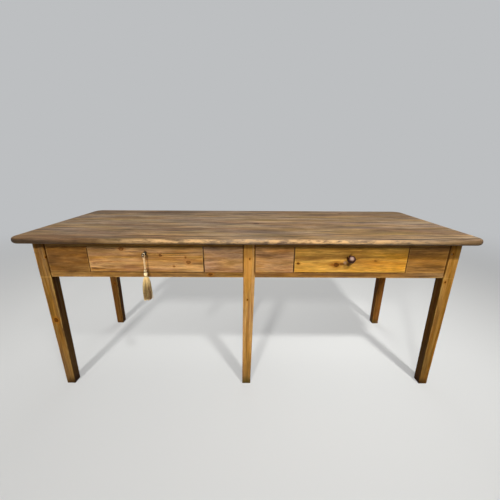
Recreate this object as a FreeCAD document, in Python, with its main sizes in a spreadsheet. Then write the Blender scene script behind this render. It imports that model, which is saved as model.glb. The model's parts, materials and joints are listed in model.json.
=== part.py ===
import FreeCAD, Part
import Sketcher
import math
import os
import re

# Refectory table in pine: a boarded top on six tapered legs, two drawers in the front apron.
# Millimetres, +Z up, origin on the floor under the middle of the top, front towards -Y.

doc = FreeCAD.newDocument("RefectoryTable")
sheet = doc.addObject("Spreadsheet::Sheet", "Sizes")

# Driving dimensions: name, size, what it measures
sizes = [
    ("table_height", 770, "floor to the upper face of the top"),
    ("top_length", 1930, "top, end to end"),
    ("top_width", 690, "top, front to back"),
    ("top_thickness", 24, "top boards"),
    ("corner_radius", 48, "rounded corners of the top"),
    ("edge_round", 10, "worn arrises of the top"),
    ("front_board_width", 198, "first board from the front"),
    ("second_board_width", 213, "second board"),
    ("third_board_width", 117, "third board; the rear one fills the rest"),
    ("tongue_thickness", 8, "tongues between the boards"),
    ("tongue_depth", 7, "how far a tongue enters its groove"),
    ("end_overhang", 58, "top past the end legs"),
    ("front_overhang", 57, "top past the front and rear legs"),
    ("leg_size", 48, "legs at the apron"),
    ("foot_size", 41, "legs at the floor"),
    ("centre_leg_width", 51.7, "centre legs at the apron, along the table"),
    ("centre_leg_offset", 4.65, "centre legs from the middle of the table"),
    ("centre_foot_lean", 11.7, "centre feet to the left of their heads"),
    ("apron_height", 166, "apron under the top"),
    ("apron_thickness", 22, "end aprons, rear aprons and cross rail"),
    ("apron_setback", 4, "end and rear aprons behind the faces of the legs"),
    ("front_setback", 3.5, "rails, panels and drawers behind the faces of the legs"),
    ("bottom_rail_height", 24, "rail under the drawers"),
    ("top_rail_height", 25, "rail over the drawers"),
    ("rail_depth", 42, "both front rails, front to back"),
    ("panel_thickness", 20, "fixed panels beside the drawers"),
    ("left_outer_panel", 174.5, "length of the panel at the left leg"),
    ("left_inner_panel", 168.8, "length of the panel left of the centre leg"),
    ("right_inner_panel", 167, "length of the panel right of the centre leg"),
    ("right_outer_panel", 171.5, "length of the panel at the right leg"),
    ("tenon_thickness", 9, "tenons of the frame"),
    ("tenon_inset", 5.5, "face of a piece to the cheek of its tenon"),
    ("tenon_shoulder", 4, "shoulder of a rail's tenon, away from the groove"),
    ("apron_shoulder", 12, "shoulders above and below a wide tenon"),
    ("mortise_web", 8, "wood left between two mortises that meet in a leg"),
    ("groove_depth", 6, "grooves in the rails for the panels"),
    ("peg_diameter", 8, "pegs through the tenons"),
    ("peg_length", 30, "pegs"),
    ("left_peg_rise", 81, "front peg of the left leg above the foot of the apron"),
    ("right_peg_rise", 113, "front peg of the right leg above the foot of the apron"),
    ("guide_width", 20, "guide beside a drawer"),
    ("guide_height", 18, "guide above its runner"),
    ("runner_ledge", 22, "ledge under the side of a drawer"),
    ("stub_length", 9, "stub tenons of runners and kickers"),
    ("stub_shoulder", 7, "shoulders of the stub tenons"),
    ("kicker_width", 44, "bar above a drawer that keeps it from tipping"),
    ("stop_length", 40, "drawer stops, along the rail"),
    ("stop_depth", 14, "drawer stops, front to back"),
    ("stop_height", 7, "drawer stops above the rail"),
    ("stop_inset", 70, "drawer stops from the end of the drawer front"),
    ("running_gap", 0.3, "play under and behind a drawer"),
    ("gap_below", 0.8, "drawer front above the bottom rail"),
    ("gap_above", 1.5, "drawer front below the top rail"),
    ("gap_tight", 1, "drawer front to panel at its outer end"),
    ("gap_wide", 3, "drawer front to panel at its inner end"),
    ("drawer_space", 66.5, "space behind a shut drawer"),
    ("front_thickness", 20, "drawer fronts"),
    ("side_thickness", 12, "drawer sides"),
    ("side_drop", 9, "drawer sides below the top of the front"),
    ("lap_depth", 14, "dovetails into the back of a drawer front"),
    ("back_thickness", 12, "drawer backs"),
    ("back_drop", 6, "drawer backs below the sides"),
    ("back_inset", 8, "drawer sides past the back"),
    ("housing_depth", 5, "housings and grooves in a drawer"),
    ("bottom_rise", 10, "drawer bottoms above the lower edge of the sides"),
    ("bottom_thickness", 8, "drawer bottoms"),
    ("nail_diameter", 2.4, "nails of the drawer bottoms"),
    ("nail_head", 5.5, "nail heads across"),
    ("nail_bite", 20, "nails into the drawer backs"),
    ("button_width", 30, "buttons under the top"),
    ("button_length", 40, "buttons without their tongues"),
    ("button_thickness", 20, "buttons"),
    ("button_tongue", 8, "tongues of the buttons, thick and deep"),
    ("screw_diameter", 4.5, "wood screws"),
    ("screw_head", 9, "screw heads across"),
    ("screw_bite", 12, "screws into the top"),
    ("knob_diameter", 34, "turned knob across"),
    ("knob_reach", 30, "knob in front of the drawer"),
    ("knob_head_depth", 19, "head of the knob, front to back"),
    ("knob_base_diameter", 21, "foot of the knob on the drawer"),
    ("knob_neck_diameter", 13, "neck of the knob"),
    ("knob_spigot_diameter", 12, "spigot glued into the drawer front"),
    ("knob_shift", 5.5, "knob left of the middle of its drawer"),
    ("knob_drop", 47, "knob below the top of the drawer front"),
    ("knob_bite", 10, "screw into the knob past the drawer front"),
    ("lock_width", 60, "lock case"),
    ("lock_height", 50, "lock case"),
    ("lock_depth", 13, "lock case with its plate"),
    ("lock_wall", 1.5, "walls of the case, and its back plate"),
    ("plate_width", 84, "back plate of the lock"),
    ("plate_screw_inset", 6, "plate screws from the edges of the plate"),
    ("plate_screw_diameter", 3, "plate screws"),
    ("plate_screw_head", 5.4, "heads of the plate screws across"),
    ("plate_screw_length", 10, "plate screws"),
    ("key_drop", 27.5, "key below the top of the drawer front"),
    ("key_fit", 0.3, "play round the key and the bolt"),
    ("shank_diameter", 5, "shank of the key"),
    ("bow_reach", 40, "middle of the bow in front of the drawer"),
    ("bow_diameter", 20, "bow of the key"),
    ("bow_hole", 11, "hole in the bow"),
    ("bow_thickness", 3, "bow of the key"),
    ("collar_diameter", 8.4, "collar of the key"),
    ("collar_width", 3, "collar of the key"),
    ("bit_drop", 9, "tip of the bit from the axis of the key"),
    ("bit_thickness", 2.5, "bit of the key"),
    ("bit_width", 7.5, "bit of the key, along the shank"),
    ("bolt_thickness", 3, "plate of the bolt"),
    ("bolt_head_width", 20, "head of the bolt"),
    ("bolt_head_depth", 7, "head of the bolt, front to back"),
    ("bolt_rim", 4, "rim of the bolt round its window"),
    ("bolt_throw", 7, "how far the key lifts the bolt"),
    ("mortise_play", 2, "mortise in the rail clear of the head of the bolt"),
    ("spring_thickness", 1, "leaf spring beside the bolt"),
    ("spring_height", 22, "leaf spring"),
    ("escutcheon_diameter", 12, "round part of the escutcheon"),
    ("escutcheon_wall", 2, "rim of the escutcheon round the keyhole"),
    ("escutcheon_depth", 5, "escutcheon let into the drawer front"),
    ("escutcheon_proud", 0.8, "escutcheon in front of the drawer front"),
    ("cord_diameter", 3, "cord of the tassel"),
    ("cord_play", 0.3, "cord clear of the shank"),
    ("tassel_clear", 1, "skirt of the tassel clear of the drawer front"),
    ("cord_drop", 67.5, "axis of the key to the head of the tassel"),
    ("head_height", 34.5, "bound head of the tassel"),
    ("head_collar_diameter", 12, "binding at the top of the head"),
    ("head_bead_diameter", 13, "upper bead of the head"),
    ("head_ball_diameter", 17, "lower, larger bead of the head"),
    ("skirt_length", 110, "skirt of the tassel"),
    ("skirt_diameter", 38, "skirt at its foot"),
    ("skirt_neck_diameter", 14, "skirt where the head sits on it"),
]

# Places and sizes that follow from the driving ones
derived = [
    ("frame_length", "top_length - 2 * end_overhang"),
    ("frame_width", "top_width - 2 * front_overhang"),
    ("top_underside", "table_height - top_thickness"),
    ("apron_bottom", "top_underside - apron_height"),
    ("opening_bottom", "apron_bottom + bottom_rail_height"),
    ("opening_top", "top_underside - top_rail_height"),
    ("frame_front", "-frame_width / 2"),
    ("frame_back", "frame_width / 2"),
    ("leg_inside", "frame_width / 2 - leg_size"),
    ("front_face", "frame_front + front_setback"),
    ("rail_back", "front_face + rail_depth"),
    ("panel_back", "front_face + panel_thickness"),
    ("front_cheek", "front_face + tenon_inset"),
    ("rear_apron_back", "frame_back - apron_setback"),
    ("rear_apron_inside", "rear_apron_back - apron_thickness"),
    ("end_apron_outside", "frame_length / 2 - apron_setback"),
    ("end_apron_inside", "end_apron_outside - apron_thickness"),
    ("tenon_length", "(leg_size - mortise_web) / 2"),
    ("bay_end", "frame_length / 2 - leg_size"),
    ("centre_leg_left", "centre_leg_offset - centre_leg_width / 2"),
    ("centre_leg_right", "centre_leg_offset + centre_leg_width / 2"),
    ("left_opening_start", "-bay_end + left_outer_panel"),
    ("left_opening_end", "centre_leg_left - left_inner_panel"),
    ("right_opening_start", "centre_leg_right + right_inner_panel"),
    ("right_opening_end", "bay_end - right_outer_panel"),
    ("left_drawer_start", "left_opening_start + gap_tight"),
    ("left_drawer_end", "left_opening_end - gap_wide"),
    ("right_drawer_start", "right_opening_start + gap_wide"),
    ("right_drawer_end", "right_opening_end - gap_tight"),
    ("drawer_bottom", "opening_bottom + gap_below"),
    ("drawer_top", "opening_top - gap_above"),
    ("drawer_inside", "front_face + front_thickness"),
    ("drawer_end", "rear_apron_inside - drawer_space"),
    ("side_bottom", "opening_bottom + running_gap"),
    ("side_top", "drawer_top - side_drop"),
    ("floor_bottom", "side_bottom + bottom_rise"),
    ("floor_top", "floor_bottom + bottom_thickness"),
    ("back_end", "drawer_end - back_inset"),
    ("key_x", "(left_drawer_start + left_drawer_end) / 2"),
    ("key_z", "drawer_top - key_drop"),
    ("knob_x", "(right_drawer_start + right_drawer_end) / 2 - knob_shift"),
    ("knob_z", "drawer_top - knob_drop"),
    ("lock_bottom", "drawer_top - lock_height"),
    ("plate_front", "drawer_inside - lock_wall"),
    ("case_front", "drawer_inside - lock_depth"),
    ("shank_end", "plate_front - key_fit"),
    ("bow_y", "front_face - bow_reach"),
    ("bit_sweep", "bit_drop + bit_thickness / 2 + key_fit"),
    ("slot_half", "bit_thickness / 2 + key_fit"),
    ("window_bottom", "key_z - bit_sweep"),
    ("window_top", "key_z + shank_diameter / 2 + 2 * key_fit"),
    ("bolt_half", "bit_sweep + bolt_rim"),
    ("bolt_shoulder", "window_top + bolt_rim"),
    ("escutcheon_front", "front_face - escutcheon_proud"),
    ("loop_radius", "(shank_diameter + cord_diameter) / 2 + cord_play"),
    ("tassel_y", "front_face - tassel_clear - skirt_diameter / 2"),
    ("head_top", "key_z - cord_drop"),
    ("skirt_top", "head_top - head_height"),
    ("skirt_foot", "skirt_top - skirt_length"),
]
cells = [(alias, str(size), note) for alias, size, note in sizes]
cells += [(alias, "=" + formula, "") for alias, formula in derived]
for row, (alias, content, note) in enumerate(cells, start=1):
    sheet.set(f"A{row}", alias)
    sheet.set(f"B{row}", content)
    sheet.set(f"C{row}", note)
    sheet.setAlias(f"B{row}", alias)
doc.recompute()
aliases = {alias for alias, content, note in cells}


# Bind the sizes and places of an item to the sheet
def sized(expression):
    return re.sub(
        r"[a-z]\w*",
        lambda word: "Sizes." + word[0] if word[0] in aliases else word[0],
        str(expression),
    )


def bind(item, **properties):
    for name, expression in properties.items():
        item.setExpression(name, sized(expression))


def place(item, x, y, z):
    for axis, expression in zip("xyz", (x, y, z)):
        item.setExpression(f"Placement.Base.{axis}", sized(expression))


# Turn what is drawn along Z so that it lies along another direction
x_axis = FreeCAD.Vector(1, 0, 0)
y_axis = FreeCAD.Vector(0, 1, 0)
turns = {
    "+x": FreeCAD.Rotation(y_axis, 90),
    "+y": FreeCAD.Rotation(x_axis, -90),
    "-y": FreeCAD.Rotation(x_axis, 90),
    "+z": FreeCAD.Rotation(),
}


# Primitives: a block is given by the two ends of each direction, in either order
def block(name, x, y, z):
    item = doc.addObject("Part::Box", name)
    lows = [f"min({first}; {last})" for first, last in (x, y, z)]
    spans = [f"abs(({first}) - ({last}))" for first, last in (x, y, z)]
    bind(item, Length=spans[0], Width=spans[1], Height=spans[2])
    place(item, *lows)
    return item


def around(middle, width):
    return (f"{middle} - ({width}) / 2", f"{middle} + ({width}) / 2")


def rod(name, direction, start, diameter, length):
    item = doc.addObject("Part::Cylinder", name)
    item.Placement.Rotation = turns[direction]
    bind(item, Radius=f"({diameter}) / 2", Height=length)
    place(item, *start)
    return item


def cone(name, direction, start, first, last, length):
    item = doc.addObject("Part::Cone", name)
    item.Placement.Rotation = turns[direction]
    bind(item, Radius1=f"({first}) / 2", Radius2=f"({last}) / 2", Height=length)
    place(item, *start)
    return item


def ball(name, direction, middle, diameter, length):
    item = doc.addObject("Part::Ellipsoid", name)
    item.Placement.Rotation = turns[direction]
    bind(item, Radius1=f"({length}) / 2", Radius2=f"({diameter}) / 2", Radius3=f"({diameter}) / 2")
    place(item, *middle)
    return item


# Booleans
def join(name, items):
    item = doc.addObject("Part::MultiFuse", name)
    item.Shapes = items
    item.Refine = True
    return item


def group(name, items):
    item = doc.addObject("Part::Compound", name)
    item.Links = items
    return item


def cut(name, base, tools):
    item = doc.addObject("Part::Cut", name)
    item.Base = base
    item.Tool = tools[0] if len(tools) == 1 else group(name + "_tools", tools)
    item.Refine = True
    return item


# Sketches: a polygon's corners are pairs of expressions, and 0 puts one on an axis
def sketch_on(body, plane, name):
    sketch = body.newObject("Sketcher::SketchObject", name)
    planes = {feature.Role: feature for feature in body.Origin.OriginFeatures}
    sketch.AttachmentSupport = [(planes[plane], "")]
    sketch.MapMode = "FlatFace"
    return sketch


def polygon(sketch, corners):
    # Drawn roughly first, then each corner is held where its expressions say
    rough_size = 1
    count = len(corners)
    rough = [FreeCAD.Vector(number * rough_size, number**2 * rough_size, 0) for number in range(count)]
    for number in range(count):
        sketch.addGeometry(Part.LineSegment(rough[number], rough[(number + 1) % count]))
    for number, corner in enumerate(corners):
        sketch.addConstraint(Sketcher.Constraint("Coincident", number, 2, (number + 1) % count, 1))
        for kind, axis, expression in (("DistanceX", -2, corner[0]), ("DistanceY", -1, corner[1])):
            if expression == 0:
                sketch.addConstraint(Sketcher.Constraint("PointOnObject", number, 1, axis))
            else:
                index = sketch.addConstraint(Sketcher.Constraint(kind, -1, 1, number, 1, rough_size))
                sketch.setExpression(f"Constraints[{index}]", sized(expression))


pieces = []
cuts = {}


def keep(item):
    pieces.append(item)
    return item


def cut_from(piece, tool):
    cuts.setdefault(piece, []).append(tool)
    return tool


def finish(name, items):
    # The finished piece is its solids joined, less all that is let into it
    solid = items[0] if len(items) == 1 else join(name + "_solid", items)
    return keep(cut(name, solid, cuts[name]))


bays = {"left": ("-bay_end", "centre_leg_left"), "right": ("centre_leg_right", "bay_end")}
ends = {"left": "-1", "right": "1"}
quarter_shares = (0.25, 0.75)


def along(span, share):
    return f"(({span[0]}) + {share} * (({span[1]}) - ({span[0]})))"


# Fasteners: a wood screw with a countersunk head, driven from the face that its head lies in
def screw(name, direction, start, kind, length):
    diameter = f"{kind}_diameter"
    shank = rod(name + "_shank", direction, start, diameter, length)
    head = cone(name + "_head", direction, start, f"{kind}_head", diameter, f"{diameter} / 2")
    return join(name, [shank, head])


# Buttons hold the top: a tongue in a slot of the apron, a screw up into the boards
button_bottom = "(top_underside - button_thickness)"
screw_share = 0.55
buttons = []
top_screws = []


def button(name, apron, tongue, body, screw_place):
    tongue_height = (button_bottom, f"{button_bottom} + button_tongue")
    tongue_item = block(name + "_tongue", *tongue, tongue_height)
    body_item = block(name + "_body", *body, (button_bottom, "top_underside"))
    fastener = screw(
        name + "_screw", "+z", (*screw_place, button_bottom), "screw", "button_thickness + screw_bite"
    )
    buttons.append(cut(name, join(name + "_solid", [tongue_item, body_item]), [fastener]))
    top_screws.append(fastener)
    cut_from(apron, tongue_item)


for side, sign in ends.items():
    inside = f"{sign} * end_apron_inside"
    for number, share in enumerate(quarter_shares, start=1):
        middle = along(("-leg_inside", "leg_inside"), share)
        width = around(middle, "button_width")
        button(
            f"end_button_{side}_{number}",
            f"end_apron_{side}",
            ((inside, f"{inside} + {sign} * button_tongue"), width),
            ((inside, f"{inside} - {sign} * button_length"), width),
            (f"{inside} - {sign} * button_length * {screw_share}", middle),
        )
for side, bay in bays.items():
    for number, share in enumerate(quarter_shares, start=1):
        middle = along(bay, share)
        width = around(middle, "button_width")
        button(
            f"rear_button_{side}_{number}",
            f"rear_apron_{side}",
            (width, ("rear_apron_inside", "rear_apron_inside + button_tongue")),
            (width, ("rear_apron_inside", "rear_apron_inside - button_length")),
            (middle, f"rear_apron_inside - button_length * {screw_share}"),
        )
keep(group("top_buttons", buttons))
button_screws = keep(group("button_screws", top_screws))

# Screws up through the top rails, behind the panels
long_screws = []
for side, bay in bays.items():
    for number, share in enumerate(quarter_shares, start=1):
        start = (along(bay, share), "(panel_back + rail_back) / 2", "opening_top")
        name = f"rail_screw_{side}_{number}"
        fastener = screw(name, "+z", start, "screw", "top_rail_height + screw_bite")
        long_screws.append(cut_from(f"top_rail_{side}", fastener))
rail_screws = keep(group("rail_screws", long_screws))

# Top: one slab, rounded at its corners and arrises, sawn into four boards with tongues
slab = doc.addObject("PartDesign::Body", "top_slab")
upright_share = 0.9
slab_outline = sketch_on(slab, "XY_Plane", "slab_outline")
half_length, half_width = "top_length / 2", "top_width / 2"
polygon(
    slab_outline,
    [
        (f"-{half_length}", f"-{half_width}"),
        (half_length, f"-{half_width}"),
        (half_length, half_width),
        (f"-{half_length}", half_width),
    ],
)
slab_pad = slab.newObject("PartDesign::Pad", "slab_pad")
slab_pad.Profile = slab_outline
bind(slab_pad, Length="top_thickness")
place(slab, "0", "0", "top_underside")
doc.recompute()
corner_edges = [
    f"Edge{number}"
    for number, edge in enumerate(slab_pad.Shape.Edges, start=1)
    if abs(edge.tangentAt(edge.FirstParameter).z) > upright_share
]
slab_corners = slab.newObject("PartDesign::Fillet", "slab_corners")
slab_corners.Base = (slab_pad, corner_edges)
bind(slab_corners, Radius="corner_radius")
doc.recompute()
flat_faces = [
    f"Face{number}"
    for number, face in enumerate(slab_corners.Shape.Faces, start=1)
    if abs(face.normalAt(0, 0).z) > upright_share
]
slab_arrises = slab.newObject("PartDesign::Fillet", "slab_arrises")
slab_arrises.Base = (slab_corners, flat_faces)
bind(slab_arrises, Radius="edge_round")

board_names = ["front", "second", "third", "rear"]
board_joints = [f"-{half_width}"]
for width in ("front_board_width", "second_board_width", "third_board_width"):
    board_joints.append(f"{board_joints[-1]} + {width}")
board_joints.append(half_width)
top_x = (f"-{half_length}", half_length)
top_z = ("top_underside", "table_height")
tongue_z = around("(top_underside + top_thickness / 2)", "tongue_thickness")
tongues = [
    block(f"board_tongue_{number}", top_x, (joint, f"{joint} + tongue_depth"), tongue_z)
    for number, joint in enumerate(board_joints[1:-1], start=1)
]
for number, board in enumerate(board_names):
    name = f"top_board_{board}"
    width = (board_joints[number], board_joints[number + 1])
    strip = block(name + "_strip", top_x, width, top_z)
    if number < len(tongues):
        strip = join(name + "_tongued", [strip, tongues[number]])
    if number > 0:
        strip = cut(name + "_grooved", strip, [tongues[number - 1]])
    blank = doc.addObject("Part::Common", name + "_blank")
    blank.Base = slab
    blank.Tool = strip
    keep(cut(name, blank, [button_screws, rail_screws]))

# Front frame: rails and panels, with their tenons in the legs and tongues in the rails
cheek_y = ("front_cheek", "front_cheek + tenon_thickness")
opening_z = ("opening_bottom", "opening_top")
panel_tenon_z = ("opening_bottom + apron_shoulder", "opening_top - apron_shoulder")
bay_legs = {"left": ("front_left", "front_centre"), "right": ("front_centre", "front_right")}


def outward(bay, end):
    # From the shoulder at an end of a bay into its leg
    sign = "-" if end == 0 else "+"
    return (bay[end], f"{bay[end]} {sign} tenon_length")


panels = {
    "left_outer": ("left", 0, ("-bay_end", "left_opening_start")),
    "left_inner": ("left", 1, ("left_opening_end", "centre_leg_left")),
    "right_inner": ("right", 0, ("centre_leg_right", "right_opening_start")),
    "right_outer": ("right", 1, ("right_opening_end", "bay_end")),
}
panel_solids = {}
for place_name, (side, end, length) in panels.items():
    name = f"panel_{place_name}"
    tenon = block(name + "_tenon", outward(bays[side], end), cheek_y, panel_tenon_z)
    lower = block(name + "_lower", length, cheek_y, ("opening_bottom - groove_depth", "opening_bottom"))
    upper = block(name + "_upper", length, cheek_y, ("opening_top", "opening_top + groove_depth"))
    board = block(name + "_board", length, ("front_face", "panel_back"), opening_z)
    panel_solids[name] = [board, tenon, lower, upper]
    cut_from("leg_" + bay_legs[side][end], tenon)
    cut_from(f"bottom_rail_{side}", lower)
    cut_from(f"top_rail_{side}", upper)

# The tenon of a rail stops at the floor of its groove
rail_levels = {
    "bottom": (
        ("apron_bottom", "opening_bottom"),
        ("apron_bottom + tenon_shoulder", "opening_bottom - groove_depth"),
    ),
    "top": (
        ("opening_top", "top_underside"),
        ("opening_top + groove_depth", "top_underside - tenon_shoulder"),
    ),
}
rail_solids = {}
for side, bay in bays.items():
    for level, (rail_z, tenon_z) in rail_levels.items():
        name = f"{level}_rail_{side}"
        solids = [block(name + "_bar", bay, ("front_face", "rail_back"), rail_z)]
        for end in (0, 1):
            tenon = block(f"{name}_tenon_{end + 1}", outward(bay, end), cheek_y, tenon_z)
            solids.append(cut_from("leg_" + bay_legs[side][end], tenon))
        rail_solids[name] = solids

# Aprons and the cross rail
apron_z = ("apron_bottom", "top_underside")
apron_tenon_z = ("apron_bottom + apron_shoulder", "top_underside - apron_shoulder")
across = ("-leg_inside", "leg_inside")
apron_solids = {}


def across_apron(name, column, x, cheek_x):
    solids = [block(name + "_board", x, across, apron_z)]
    for row_name, sign in (("front", "-1"), ("rear", "1")):
        tenon_y = (f"{sign} * leg_inside", f"{sign} * (leg_inside + tenon_length)")
        tenon = block(f"{name}_tenon_{row_name}", cheek_x, tenon_y, apron_tenon_z)
        solids.append(cut_from(f"leg_{row_name}_{column}", tenon))
    apron_solids[name] = solids


for side, sign in ends.items():
    cheek = f"{sign} * (end_apron_outside - tenon_inset)"
    across_apron(
        f"end_apron_{side}",
        side,
        (f"{sign} * end_apron_outside", f"{sign} * end_apron_inside"),
        (cheek, f"{cheek} - {sign} * tenon_thickness"),
    )
across_apron(
    "centre_cross_rail",
    "centre",
    around("centre_leg_offset", "apron_thickness"),
    around("centre_leg_offset", "tenon_thickness"),
)
rear_cheek_y = ("rear_apron_back - tenon_inset", "rear_apron_back - tenon_inset - tenon_thickness")
for side, bay in bays.items():
    name = f"rear_apron_{side}"
    solids = [block(name + "_board", bay, ("rear_apron_back", "rear_apron_inside"), apron_z)]
    for end in (0, 1):
        tenon = block(f"{name}_tenon_{end + 1}", outward(bay, end), rear_cheek_y, apron_tenon_z)
        solids.append(cut_from(bay_legs[side][end].replace("front", "leg_rear"), tenon))
    apron_solids[name] = solids

# Pegs through the tenons
peg_spots = []
for side, sign in ends.items():
    tenon_middle = f"{sign} * (bay_end + tenon_length / 2)"
    spot = (tenon_middle, "frame_front", f"apron_bottom + {side}_peg_rise")
    peg_spots.append(("+y", spot, (f"leg_front_{side}", f"panel_{side}_outer")))
    outer_x = "-frame_length / 2" if side == "left" else "frame_length / 2 - peg_length"
    for share in quarter_shares:
        level = along(apron_z, share)
        for row_name, depth in (("front", "-1"), ("rear", "1")):
            spot = (outer_x, f"{depth} * (leg_inside + tenon_length / 2)", level)
            peg_spots.append(("+x", spot, (f"leg_{row_name}_{side}", f"end_apron_{side}")))
        spot = (tenon_middle, "frame_back - peg_length", level)
        peg_spots.append(("+y", spot, (f"leg_rear_{side}", f"rear_apron_{side}")))
        centre_x = f"centre_leg_{side} - {sign} * tenon_length / 2"
        spot = (centre_x, "frame_back - peg_length", level)
        peg_spots.append(("+y", spot, ("leg_rear_centre", f"rear_apron_{side}")))
pegs = []
for number, (direction, spot, held) in enumerate(peg_spots, start=1):
    peg = rod(f"peg_{number}", direction, spot, "peg_diameter", "peg_length")
    pegs.append(peg)
    for piece in held:
        cut_from(piece, peg)
keep(group("frame_pegs", pegs))

# Legs: square at the apron, tapered below it on the inner faces
columns = {
    "left": (("-frame_length / 2", "-bay_end"), ("-frame_length / 2", "-frame_length / 2 + foot_size")),
    "centre": (
        ("centre_leg_left", "centre_leg_right"),
        around("centre_leg_offset - centre_foot_lean", "foot_size"),
    ),
    "right": (("bay_end", "frame_length / 2"), ("frame_length / 2 - foot_size", "frame_length / 2")),
}
rows = {
    "front": (("-frame_width / 2", "-leg_inside"), ("-frame_width / 2", "-frame_width / 2 + foot_size")),
    "rear": (("leg_inside", "frame_width / 2"), ("frame_width / 2 - foot_size", "frame_width / 2")),
}
for row_name, (head_y, foot_y) in rows.items():
    for column, (head_x, foot_x) in columns.items():
        name = f"leg_{row_name}_{column}"
        head = block(name + "_head", head_x, head_y, apron_z)
        taper = doc.addObject("Part::Wedge", name + "_taper")
        taper.Placement.Rotation = turns["+y"]
        taper.Ymin = 0
        bind(taper, Xmin=head_x[0], Xmax=head_x[1], Zmin=head_y[0], Zmax=head_y[1])
        bind(taper, X2min=foot_x[0], X2max=foot_x[1], Z2min=foot_y[0], Z2max=foot_y[1])
        bind(taper, Ymax="apron_bottom")
        place(taper, "0", "0", "apron_bottom")
        finish(name, [head, taper])

# Runners with guides under the drawers, kickers above them
runner_y = ("rail_back", "rear_apron_inside")
stub_ends = {
    "front": ("rail_back - stub_length", "rail_back"),
    "rear": ("rear_apron_inside", "rear_apron_inside + stub_length"),
}


def stubs(name, side, rail, x, low, high):
    # Stub tenons into the front rail and the rear apron
    stub_z = (f"{low} + stub_shoulder", f"{high} - stub_shoulder")
    items = []
    for end, piece in (("front", f"{rail}_rail_{side}"), ("rear", f"rear_apron_{side}")):
        items.append(cut_from(piece, block(f"{name}_stub_{end}", x, stub_ends[end], stub_z)))
    return items


for side in bays:
    opening = (f"{side}_opening_start", f"{side}_opening_end")
    for end, sign in ((0, "-"), (1, "+")):
        inward = "+" if sign == "-" else "-"
        outer = (side == "left") == (end == 0)
        name = f"runner_{side}_{'outer' if outer else 'inner'}"
        edge = opening[end]
        far, near = f"{edge} {sign} guide_width", f"{edge} {inward} runner_ledge"
        bar = block(name + "_bar", (far, near), runner_y, ("apron_bottom", "opening_bottom"))
        guide = block(
            name + "_guide", (far, edge), runner_y, ("opening_bottom", "opening_bottom + guide_height")
        )
        stub_x = (f"{far} {inward} stub_shoulder", f"{near} {sign} stub_shoulder")
        tenons = stubs(name, side, "bottom", stub_x, "apron_bottom", "opening_bottom")
        keep(join(name, [bar, guide] + tenons))
    name = f"kicker_{side}"
    middle = f"({side}_drawer_start + {side}_drawer_end) / 2"
    bar = block(name + "_bar", around(middle, "kicker_width"), runner_y, ("opening_top", "top_underside"))
    stub_x = around(middle, "(kicker_width - 2 * stub_shoulder)")
    keep(join(name, [bar] + stubs(name, side, "top", stub_x, "opening_top", "top_underside")))

# Drawer stops on the bottom rails
stops = []
for side in bays:
    for end, start, sign in (("start", f"{side}_drawer_start", "+"), ("end", f"{side}_drawer_end", "-")):
        stop_x = (f"{start} {sign} stop_inset", f"{start} {sign} (stop_inset + stop_length)")
        stop_y = ("drawer_inside + running_gap", "drawer_inside + running_gap + stop_depth")
        stop_z = ("opening_bottom", "opening_bottom + stop_height")
        stops.append(block(f"stop_{side}_{end}", stop_x, stop_y, stop_z))
keep(group("drawer_stops", stops))

# Lock of the left drawer: case, back plate, bolt, spring, screws, escutcheon and key
lock_z = ("lock_bottom", "drawer_top")
case_block = block("case_block", around("key_x", "lock_width"), ("case_front", "plate_front"), lock_z)
plate_y = ("plate_front", "drawer_inside")
plate_block = block("plate_block", around("key_x", "plate_width"), plate_y, lock_z)
cavity = block(
    "case_cavity",
    around("key_x", "(lock_width - 2 * lock_wall)"),
    ("case_front + lock_wall", "plate_front"),
    ("lock_bottom + lock_wall", "drawer_top - lock_wall"),
)
bolt_slot = block(
    "bolt_slot",
    around("key_x", "(bolt_head_width + 2 * key_fit)"),
    ("shank_end - bolt_head_depth - key_fit", "plate_front"),
    ("drawer_top - lock_wall", "drawer_top"),
)
keyhole_y = ("escutcheon_front", "case_front + lock_wall")
keyhole = join(
    "keyhole",
    [
        rod(
            "keyhole_round",
            "+y",
            ("key_x", "escutcheon_front", "key_z"),
            "(shank_diameter + 2 * key_fit)",
            "case_front + lock_wall - escutcheon_front",
        ),
        block(
            "keyhole_slot",
            ("key_x - slot_half", "key_x + slot_half"),
            keyhole_y,
            ("key_z - bit_drop - key_fit", "key_z"),
        ),
    ],
)
keep(cut("lock_case", case_block, [cavity, bolt_slot, keyhole]))
plate_screws = []
for column, sign in (("left", "-"), ("right", "+")):
    for level, screw_z in (
        ("low", "lock_bottom + plate_screw_inset"),
        ("high", "drawer_top - plate_screw_inset"),
    ):
        start = (f"key_x {sign} (plate_width / 2 - plate_screw_inset)", "drawer_inside", screw_z)
        plate_screws.append(
            screw(f"plate_screw_{column}_{level}", "-y", start, "plate_screw", "plate_screw_length")
        )
lock_screws = keep(group("lock_screws", plate_screws))
keep(cut("lock_plate", plate_block, [lock_screws]))
for tool in (case_block, plate_block, lock_screws, keyhole):
    cut_from("left_drawer_front", tool)

bolt_y = ("shank_end - bolt_thickness", "shank_end")
bolt_plate = block(
    "bolt_plate",
    ("key_x - bolt_half", "key_x + bolt_half"),
    bolt_y,
    ("window_bottom - bolt_rim", "bolt_shoulder"),
)
bolt_head = block(
    "bolt_head",
    around("key_x", "bolt_head_width"),
    ("shank_end - bolt_head_depth", "shank_end"),
    ("bolt_shoulder", "drawer_top"),
)
bolt_window = block(
    "bolt_window", ("key_x - bit_sweep", "key_x + bit_sweep"), bolt_y, ("window_bottom", "window_top")
)
keep(cut("lock_bolt", join("bolt_solid", [bolt_plate, bolt_head]), [bolt_window]))
cut_from(
    "top_rail_left",
    block(
        "bolt_mortise",
        around("key_x", "(bolt_head_width + 2 * mortise_play)"),
        ("shank_end - bolt_head_depth - mortise_play", "shank_end + mortise_play"),
        ("opening_top", "drawer_top + bolt_throw + mortise_play"),
    ),
)
leaf_x = "key_x + bolt_half + key_fit"
spring_y = ("case_front + lock_wall", "plate_front")
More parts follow.
